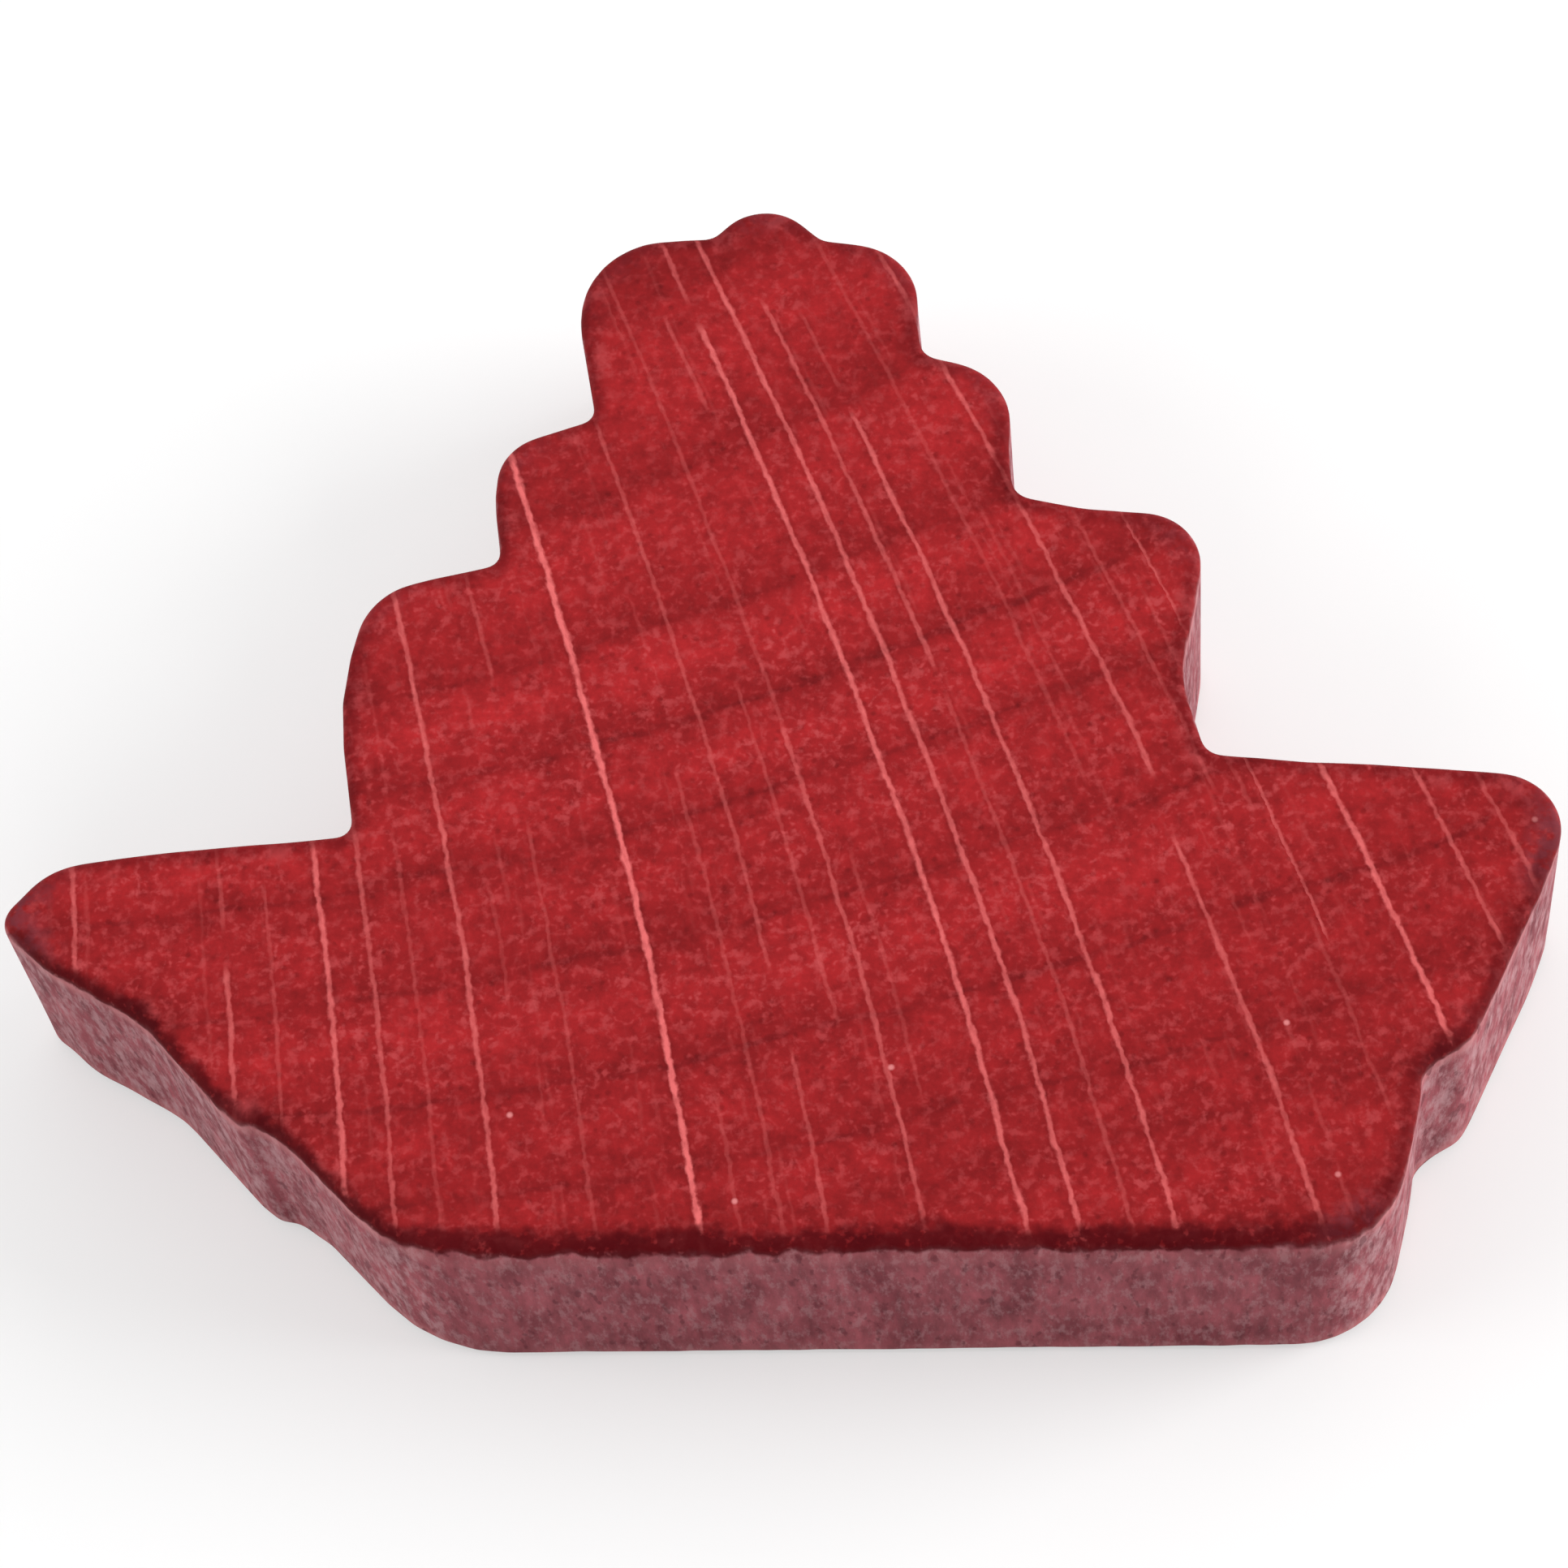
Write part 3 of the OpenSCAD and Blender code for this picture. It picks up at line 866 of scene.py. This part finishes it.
def line_group():
    """A node group that draws a line and the shade beside it, between the line's two ends."""
    tree = bpy.data.node_groups.new("grain_line", "ShaderNodeTree")
    for socket in ("Across", "Along", "Place", "Size", "From", "To", "Strength"):
        tree.interface.new_socket(socket, in_out="INPUT", socket_type="NodeSocketFloat")
    for socket in ("Line", "Beside"):
        tree.interface.new_socket(socket, in_out="OUTPUT", socket_type="NodeSocketFloat")
    nodes = Nodes(tree)
    given = nodes.add("NodeGroupInput").outputs
    away = nodes.math("ABSOLUTE", nodes.math("SUBTRACT", given["Across"], given["Place"]))
    share = nodes.math("MULTIPLY_ADD", given["Strength"], 1.0 - LINE_LEAST, LINE_LEAST)
    away = nodes.math("DIVIDE", away, nodes.product(given["Size"], share))
    begun = nodes.smooth(nodes.math("SUBTRACT", given["Along"], given["From"]), -LINE_FADE, LINE_FADE)
    ended = nodes.smooth(nodes.math("SUBTRACT", given["Along"], given["To"]), LINE_FADE, -LINE_FADE)
    there = nodes.product(given["Strength"], nodes.product(begun, ended))
    nodes.add("NodeGroupOutput", {
        "Line": nodes.product(nodes.smooth(away, *LINE_EDGE), there),
        "Beside": nodes.product(nodes.smooth(away, *LINE_SHADE), there)})
    return tree


def draw_line(nodes, line, *values):
    """A drawn line from the values of the group's sockets in their order, and the shade beside it."""
    node = nodes.add("ShaderNodeGroup", node_tree=line)
    for socket, value in zip(node.inputs, values):
        nodes.feed(socket, value)
    return node.outputs


def share_of(value, span):
    """Where a value lies in a span, from 0 to 1."""
    return (value - span[0]) / (span[1] - span[0])


def table(nodes, value, span, rows):
    """Four numbers looked up by value: each row starts at its first number and holds up to the next row."""
    node = nodes.add("ShaderNodeValToRGB", {"Fac": nodes.scale(value, *span)})
    ramp = node.color_ramp
    ramp.interpolation = "CONSTANT"
    while len(ramp.elements) > 1:
        ramp.elements.remove(ramp.elements[-1])
    for k, (start, numbers) in enumerate(rows):
        stop = ramp.elements.new(share_of(start, span)) if k else ramp.elements[0]
        stop.color = numbers
    ramp.elements[0].position = 0.0
    parts = nodes.add("ShaderNodeSeparateColor", {0: node.outputs["Color"]}).outputs
    return parts[0], parts[1], parts[2], node.outputs["Alpha"]


def drawn_rays(nodes, line, angle, radius, half_width):
    """The rays that are seen one by one, and the shade beside them."""
    lines, shades = [], []
    ordered = sorted(RAYS)
    for lane in (ordered[::2], ordered[1::2]):
        rows = []
        for k, (place, near, far, strength) in enumerate(lane):
            start = (lane[k - 1][0] + place) / 2 if k else RAY_SPAN[0]
            ends = share_of(near, LENGTH_SPAN), share_of(far, LENGTH_SPAN)
            rows.append((start, (share_of(place, RAY_SPAN), *ends, strength)))
        place, near, far, strength = table(nodes, angle, RAY_SPAN, rows)
        place = nodes.scale(place, 0.0, 1.0, *RAY_SPAN)
        near, far = (nodes.scale(end, 0.0, 1.0, *LENGTH_SPAN) for end in (near, far))
        ray = draw_line(nodes, line, angle, radius, place, half_width, near, far, strength)
        lines.append(ray["Line"])
        shades.append(ray["Beside"])
    return nodes.largest(*lines), nodes.largest(*shades)


def faint_rays(nodes, angle, radius, half_width):
    """Fine broken rays all over."""
    across, along = FAINT_BREAKS
    lines = []
    for spread, shift in FAINT_RAYS:
        cells = nodes.add("ShaderNodeTexVoronoi", {"W": nodes.math("ADD", angle, shift), "Scale": spread},
                          voronoi_dimensions="1D")
        away = nodes.math("DIVIDE", cells.outputs["Distance"], nodes.product(half_width, spread))
        chance = nodes.add("ShaderNodeSeparateColor", {0: cells.outputs["Color"]}).outputs[0]
        place = nodes.join(nodes.product(angle, across), nodes.product(radius, along), shift)
        lines.append(nodes.product(
            nodes.smooth(away, *FAINT_EDGE), nodes.math("POWER", chance, 2.0),
            nodes.patches(place, "faint breaks")))
    return nodes.largest(*lines)


def ring_tone(nodes, ring_radius):
    """How light the growth rings are."""
    node = nodes.add("ShaderNodeValToRGB", {"Fac": nodes.scale(ring_radius, *RING_SPAN)})
    ramp = node.color_ramp
    for stop, tone in zip(ramp.elements, RING_SPAN_TONES):
        stop.color = (tone, tone, tone, 1.0)
    for end, lightest, light, _ in RINGS:
        for at, tone in ((end, 0.0), (end + RING_RISE, RING_RISE_SHARE * light), (lightest, light)):
            ramp.elements.new(share_of(at, RING_SPAN)).color = (tone, tone, tone, 1.0)
    return node.outputs[0]


def ring_ends(nodes, line, ring_radius, angle):
    """The thin lines that end the growth rings."""
    rows = []
    for k, (end, _, _, strength) in enumerate(RINGS):
        start = (RINGS[k - 1][0] + end) / 2 if k else RING_SPAN[0]
        rows.append((start, (share_of(end, RING_SPAN), 0.0, 0.0, strength)))
    place, _, _, strength = table(nodes, ring_radius, RING_SPAN, rows)
    place = nodes.scale(place, 0.0, 1.0, *RING_SPAN)
    return draw_line(nodes, line, ring_radius, angle, place, RING_LINE, *RING_ENDS, strength)["Line"]


def drawn_out(nodes, place, share):
    """A place whose height counts only by a share, which draws noises out through the slice."""
    return nodes.vector_math("MULTIPLY", place, (1.0, 1.0, share))[0]


def rubbed_spots_with_shade_and_sheen(nodes, place):
    """How much handling has rubbed the spots along the edge, where painted shade and sheen go too."""
    plan = drawn_out(nodes, place, 0.0)
    spots = []
    for x, y, reach in RUBBED:
        away = nodes.vector_math("DISTANCE", plan, (x, y, 0.0))["Value"]
        spots.append(nodes.smooth(away, reach, RUBBED_CORE * reach))
    return nodes.largest(*spots)


def wood_places(nodes, grain):
    """Where a point of the wood lies: in mm, beside the worn edge, about the pith, on rays and rings."""
    at = SimpleNamespace()
    where = nodes.add("ShaderNodeTexCoord").outputs["Object"]
    at.place = nodes.add("ShaderNodeVectorMath", {0: where, "Scale": PER_MM}, operation="SCALE").outputs[0]
    at.drawn = drawn_out(nodes, at.place, FACE_DRAW)
    for name in ("edge_distance", "keelward", "corner"):
        setattr(at, name, nodes.add("ShaderNodeAttribute", attribute_name=name).outputs["Fac"])
    at.keel = nodes.smooth(at.keelward, *KEEL_FACING)
    at.rubbed = rubbed_spots_with_shade_and_sheen(nodes, at.place)
    x, y, at.height = nodes.split(at.place)

    east = nodes.math("DIVIDE", nodes.math("SUBTRACT", x, grain.pith[0] * PER_MM), grain.scale)
    south = nodes.math("DIVIDE", nodes.math("SUBTRACT", grain.pith[1] * PER_MM, y), grain.scale)
    squares = nodes.total(nodes.math("POWER", east, 2.0), nodes.math("POWER", south, 2.0))
    at.radius = nodes.math("SQRT", squares)
    middle = grain.ray_middle * PER_MM
    bow = nodes.math("POWER", nodes.math("SUBTRACT", at.radius, middle), 2.0)
    depth = nodes.math("SUBTRACT", THICKNESS * PER_MM, at.height)
    at.angle = nodes.math("DEGREES", nodes.math("ARCTAN2", east, south))
    at.angle = nodes.math("MULTIPLY_ADD", bow, grain.ray_bow, at.angle)
    at.angle = nodes.math("MULTIPLY_ADD", depth, grain.ray_lean, at.angle)
    at.ray_angle = nodes.total(
        at.angle, nodes.tone(at.drawn, "ray wander"), nodes.tone(at.drawn, "ray jag"))
    inward = nodes.math("SUBTRACT", middle, at.radius)
    skew = nodes.product(inward, nodes.math("SUBTRACT", at.angle, grain.ring_middle))
    at.ring_radius = nodes.total(
        nodes.math("MULTIPLY_ADD", skew, grain.ring_skew, at.radius),
        nodes.tone(at.drawn, "ring wander"), nodes.tone(at.drawn, "ring jag"))
    return at


def ray_marks(nodes, line, grain, at):
    """The rays, drawn and faint, and the shade beside the drawn ones."""
    along = nodes.join(nodes.product(at.angle, RAY_DRAW), at.radius, at.height)
    half_width = nodes.math("DIVIDE", math.degrees(grain.ray_width * PER_MM / 2), at.radius)
    half_width = nodes.product(half_width, nodes.tone(along, "ray width"))
    rays, beside = drawn_rays(nodes, line, at.ray_angle, at.radius, half_width)
    fading = nodes.tone(along, "ray fading")
    beads = nodes.tone(along, "ray beads")
    faint = faint_rays(nodes, at.ray_angle, at.radius, half_width)
    rays = nodes.largest(nodes.product(rays, fading, beads), nodes.product(faint, FAINT_STRENGTH))
    return rays, beside


def edge_dye_and_shade(nodes, at):
    """How much dye has gathered along the worn edges, with painted shade where they face the keel, and how
    much of the face's colour shows there.
    """
    inner = nodes.total(at.edge_distance, nodes.tone(at.place, "band beginning"))
    outer = nodes.total(
        at.edge_distance, nodes.tone(at.place, "band ending"), nodes.scale(at.keel, *BAND_KEEL_END))
    reach = nodes.total(
        nodes.scale(at.keelward, *BAND_TURN), nodes.scale(at.keel, *BAND_KEEL),
        nodes.tone(at.place, "band width"))
    strength = nodes.product(
        nodes.scale(at.keelward, *BAND_BY_FACING), nodes.scale(at.corner, *BAND_BY_CORNER))
    gathered = nodes.product(
        nodes.smooth(nodes.math("SUBTRACT", inner, reach), *BAND_BEGIN), nodes.smooth(outer, *BAND_END),
        strength, nodes.tone(at.place, "band patches"), nodes.patches(at.place, "band chips"))
    return gathered, nodes.smooth(outer, *FACE_END)


def pores_of(nodes, place):
    """Scattered pores of the end grain."""
    cells = nodes.add("ShaderNodeTexVoronoi", {"Vector": place, "Scale": PORE_CELLS}).outputs
    chance = nodes.add("ShaderNodeSeparateColor", {0: cells["Color"]}).outputs[0]
    return nodes.product(nodes.smooth(cells["Distance"], *PORE_EDGE), nodes.smooth(chance, *PORE_CHANCE))


def pale_flecks(nodes, at, tone):
    """Pale flecks of the end grain, more of them in the light part of a ring and away from the masthead."""
    flecks = nodes.largest(nodes.patches(at.drawn, "flecks"), nodes.patches(at.drawn, "dots"))
    patch = nodes.product(nodes.tone(at.drawn, "fleck patches"), nodes.scale(at.radius, *FLECKS_BY_RADIUS))
    return nodes.product(flecks, nodes.scale(tone, *FLECKS_BY_TONE), patch, FLECK_SHARE)


def end_grain(nodes, dye, at, line, rays, beside):
    """Colour of the faces, the height of their fine structure, and its mottle."""
    tone = ring_tone(nodes, at.ring_radius)
    breaks = nodes.patches(at.place, "ring breaks")
    ends = nodes.product(ring_ends(nodes, line, at.ring_radius, at.angle), breaks, RING_LINE_SHARE)
    face = nodes.mix(tone, rgba(dye.late_wood), rgba(dye.early_wood))
    face = nodes.mix(ends, face, rgba(dye.ring_line))

    mottle = nodes.noise(at.drawn, "mottle")
    pores = pores_of(nodes, at.drawn)
    shade = nodes.product(
        nodes.scale(mottle, *NOISES["mottle"][4:]),
        nodes.tone(at.drawn, "clouds"),
        nodes.math("MULTIPLY_ADD", pores, PORE_SHADE, 1.0),
        nodes.math("MULTIPLY_ADD", beside, RAY_SHADE, 1.0),
        nodes.scale(at.edge_distance, *EDGE_SHADE))
    face = nodes.mix(1.0, face, shade, "MULTIPLY")

    face = nodes.mix(pale_flecks(nodes, at, tone), face, rgba(dye.fleck))
    rim = nodes.product(
        nodes.smooth(at.edge_distance, *FACE_RIM), nodes.patches(at.drawn, "rim flecks"), RIM_FLECK_SHARE)
    face = nodes.mix(rim, face, rgba(dye.fleck))
    # Rubbed wood at sharp corners and spots beside the edge, with painted shade and sheen of the rounded
    # edge
    rubbed = nodes.product(
        nodes.largest(nodes.product(at.corner, RUBBED_CORNER), at.rubbed),
        nodes.smooth(at.edge_distance, *RUBBED_RIM), nodes.patches(at.place, "rubbing"))
    face = nodes.mix(rubbed, face, rgba(dye.rubbed))
    face = nodes.mix(rays, face, rgba(dye.ray))
    for x, y, strength in SPECKS:
        away = nodes.vector_math("DISTANCE", at.place, (x, y, THICKNESS * PER_MM))["Value"]
        face = nodes.mix(nodes.smooth(away, *SPECK_EDGE, 0.0, strength), face, rgba(dye.speck))
    height = nodes.total(
        nodes.product(mottle, MOTTLE_HEIGHT), nodes.product(rays, RAY_HEIGHT),
        nodes.product(pores, PORE_HEIGHT))
    return face, height, mottle


def at_keel(nodes, at, elsewhere, there):
    """A number that is one thing at the keel and another elsewhere."""
    return nodes.scale(at.keel, 0.0, 1.0, elsewhere, there)


def long_grain(nodes, dye, at):
    """Colour of the wall, and the height of its fibres."""
    drawn = {name: drawn_out(nodes, at.place, share) for name, share in WALL_DRAW.items()}
    fibres = nodes.noise(drawn["fibres"], "fibres")
    clouds = nodes.noise(drawn["wall clouds"], "wall clouds")
    light = nodes.scale(clouds, *NOISES["wall clouds"][4:])
    wall = nodes.mix(light, rgba(dye.wall_dark), rgba(dye.wall_light))
    wall = nodes.mix(1.0, wall, nodes.scale(fibres, *NOISES["fibres"][4:]), "MULTIPLY")

    # Pale dust, with more of it away from the keel as painted sheen of the walls seen at a slant
    begin, full = (at_keel(nodes, at, *both) for both in zip(NOISES["dust"][4:6], KEEL_DUST))
    dust = nodes.smooth(nodes.noise(drawn["dust"], "dust"), begin, full)
    wall = nodes.mix(nodes.product(dust, at_keel(nodes, at, *DUST_AND_SHEEN_SHARE)), wall, rgba(dye.wall_dust_and_sheen))
    # A paler rim on the wall beside its edges: rubbed wood, and painted highlight where the walls face away
    # from the keel
    rim = nodes.product(
        nodes.smooth(at.edge_distance, *WALL_RIM), nodes.smooth(clouds, *RIM_CLOUDS),
        at_keel(nodes, at, *WALL_RIM_AND_HIGHLIGHT_SHARE))
    wall = nodes.mix(rim, wall, rgba(dye.wall_rim_and_highlight))
    wall = nodes.mix(nodes.patches(drawn["cracks"], "cracks"), wall, rgba(dye.wall_crack))
    return wall, nodes.product(fibres, FIBRE_HEIGHT)


def wood_material(dye, grain):
    """Dyed wood: rings and rays about the pith on the faces, long grain on the wall, dye with painted shade
    between them.
    """
    material, nodes = new_material("dyed_wood")
    at = wood_places(nodes, grain)
    line = line_group()
    rays, beside = ray_marks(nodes, line, grain, at)
    gathered, face_share = edge_dye_and_shade(nodes, at)
    rays = nodes.product(rays, nodes.math("SUBTRACT", 1.0, gathered))
    face, face_height, mottle = end_grain(nodes, dye, at, line, rays, beside)
    wall, wall_height = long_grain(nodes, dye, at)
    colour = nodes.mix(face_share, wall, face)
    # The dark edge band: gathered dye, and painted shade on the edges that face the keel
    colour = nodes.mix(nodes.product(gathered, BAND_SHARE), colour, rgba(dye.edge))
    bump = nodes.add("ShaderNodeBump", {
        "Height": nodes.total(face_height, wall_height), "Distance": BUMP_HEIGHT, "Strength": BUMP_STRENGTH,
    })
    shader = nodes.add("ShaderNodeBsdfPrincipled", {
        "Base Color": colour, "Roughness": nodes.scale(mottle, *USUAL, *WOOD_ROUGHNESS),
        "Normal": bump.outputs[0], "Specular IOR Level": WOOD_GLOSS})
    nodes.add("ShaderNodeOutputMaterial", {"Surface": shader.outputs[0]})
    return material


def looked_at(nodes):
    """1 for rays that come from the camera straight, by a reflection or through glass, 0 for light."""
    path = nodes.add("ShaderNodeLightPath").outputs
    return nodes.largest(path["Is Camera Ray"], path["Is Glossy Ray"], path["Is Transmission Ray"])


def floor_material(colour, white_share):
    """Plain pale card that goes over into the white of the backdrop away from the piece."""
    material, nodes = new_material("floor_card")
    material.cycles.emission_sampling = "NONE"
    place = nodes.add("ShaderNodeTexCoord").outputs["Object"]
    fibres = nodes.add("ShaderNodeTexNoise", {"Vector": place, "Scale": CARD_WAVES}).outputs[0]
    paper = nodes.scale(fibres, *CARD_VALUES, 0.0, CARD_FIBRE_SHARE)
    card = nodes.add("ShaderNodeBsdfPrincipled", {
        "Base Color": nodes.mix(paper, rgba(colour), rgba(CARD_FIBRE)),
        "Roughness": nodes.scale(fibres, *CARD_VALUES, *CARD_ROUGHNESS), "Specular IOR Level": CARD_GLOSS})
    white = nodes.add("ShaderNodeEmission", {"Color": WHITE, "Strength": 1.0})
    away = nodes.vector_math("LENGTH", place)["Value"]
    share = nodes.product(nodes.smooth(away, *FLOOR_FADE, white_share, 1.0), looked_at(nodes))
    mixed = nodes.add("ShaderNodeMixShader", {0: share, 1: card.outputs[0], 2: white.outputs[0]})
    nodes.add("ShaderNodeOutputMaterial", {"Surface": mixed.outputs[0]})
    return material


def show(name, data):
    """A new object in the scene."""
    thing = bpy.data.objects.new(name, data)
    bpy.context.scene.collection.objects.link(thing)
    return thing


def lay_floor(setting):
    """The round card that the piece lies on."""
    disc = bmesh.new()
    bmesh.ops.create_circle(disc, cap_ends=True, segments=FLOOR_CORNERS, radius=FLOOR_RADIUS)
    card = bpy.data.meshes.new("floor_card")
    disc.to_mesh(card)
    disc.free()
    floor = show("floor_card", card)
    floor.data.materials.append(floor_material(setting.floor, setting.floor_white))


def set_sky(scene, setting):
    """Light from all around, which looks plain white itself."""
    world = bpy.data.worlds.new("studio")
    scene.world = world
    world.use_nodes = True
    world.node_tree.nodes.clear()
    nodes = Nodes(world.node_tree)
    ahead = nodes.split(nodes.add("ShaderNodeTexCoord").outputs["Generated"])[1]
    strength = nodes.scale(ahead, -SKY_REACH, SKY_REACH, setting.sky_before, setting.sky_behind)
    light = nodes.add("ShaderNodeBackground", {"Color": WHITE, "Strength": strength})
    seen = nodes.add("ShaderNodeBackground", {"Color": WHITE, "Strength": 1.0})
    mixed = nodes.add("ShaderNodeMixShader", {
        0: looked_at(nodes), 1: light.outputs[0], 2: seen.outputs[0]})
    nodes.add("ShaderNodeOutputWorld", {"Surface": mixed.outputs[0]})


def hang_lamp(name, power, place, size):
    """A large soft lamp that faces the piece."""
    lamp = bpy.data.lights.new(name, "AREA")
    lamp.shape = "DISK"
    lamp.size = size
    lamp.energy = power
    lamp_object = show(name, lamp)
    lamp_object.location = place
    lamp_object.rotation_euler = (-Vector(place)).to_track_quat("-Z", "Y").to_euler()


def set_camera(scene, setting):
    """The camera at the photograph's place."""
    camera = show("camera", bpy.data.cameras.new("camera"))
    camera.location = setting.camera_place
    camera.rotation_euler = Euler(setting.camera_turn)
    camera.data.sensor_width = SENSOR_WIDTH
    camera.data.lens = setting.lens
    camera.data.clip_start, camera.data.clip_end = SIGHT
    scene.camera = camera


class SHIP_OT_carve(bpy.types.Operator):
    """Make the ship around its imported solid, with worn edges and dyed wood"""

    bl_idname = "ship_piece.carve"
    bl_label = "Carve the ship"

    def execute(self, context):
        scene = context.scene
        ship = show("ship_wood", carve(scene.ship_shape))
        ship.data.materials.append(wood_material(scene.ship_dye, scene.ship_grain))
        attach(ship, "root")
        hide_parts(NODE)
        return {"FINISHED"}


class SHIP_OT_stage(bpy.types.Operator):
    """Set the floor, the light and the camera"""

    bl_idname = "ship_piece.stage"
    bl_label = "Set the stage"

    def execute(self, context):
        scene = context.scene
        setting = scene.ship_stage
        lay_floor(setting)
        set_sky(scene, setting)
        hang_lamp("right_lamp", setting.right_lamp, setting.right_lamp_place, setting.lamp_size)
        hang_lamp("left_lamp", setting.left_lamp, setting.left_lamp_place, setting.lamp_size)
        set_camera(scene, setting)
        scene.view_settings.view_transform = "Standard"
        return {"FINISHED"}


class SHIP_PT_panel(bpy.types.Panel):
    """The ship's operators and settings"""

    bl_idname = "SHIP_PT_panel"
    bl_label = "Ship game piece"
    bl_space_type = "VIEW_3D"
    bl_region_type = "UI"
    bl_category = "Ship"

    def draw(self, context):
        for operator, groups in (
            (SHIP_OT_carve, ("ship_shape", "ship_grain", "ship_dye")),
            (SHIP_OT_stage, ("ship_stage",)),
        ):
            box = self.layout.box()
            for group in groups:
                settings = getattr(context.scene, group)
                for name in settings.__annotations__:
                    box.prop(settings, name)
            box.operator(operator.bl_idname)


CLASSES = (ShipShape, WoodDye, WoodGrain, StageSetting, SHIP_OT_carve, SHIP_OT_stage, SHIP_PT_panel)
GROUPS = {"ship_shape": ShipShape, "ship_dye": WoodDye, "ship_grain": WoodGrain, "ship_stage": StageSetting}


def register():
    for cls in CLASSES:
        bpy.utils.register_class(cls)
    for name, group in GROUPS.items():
        setattr(bpy.types.Scene, name, bpy.props.PointerProperty(type=group))


def unregister():
    for name in GROUPS:
        delattr(bpy.types.Scene, name)
    for cls in reversed(CLASSES):
        bpy.utils.unregister_class(cls)


def main():
    register()
    bpy.ops.ship_piece.carve()
    bpy.ops.ship_piece.stage()


if __name__ == "__main__":
    main()
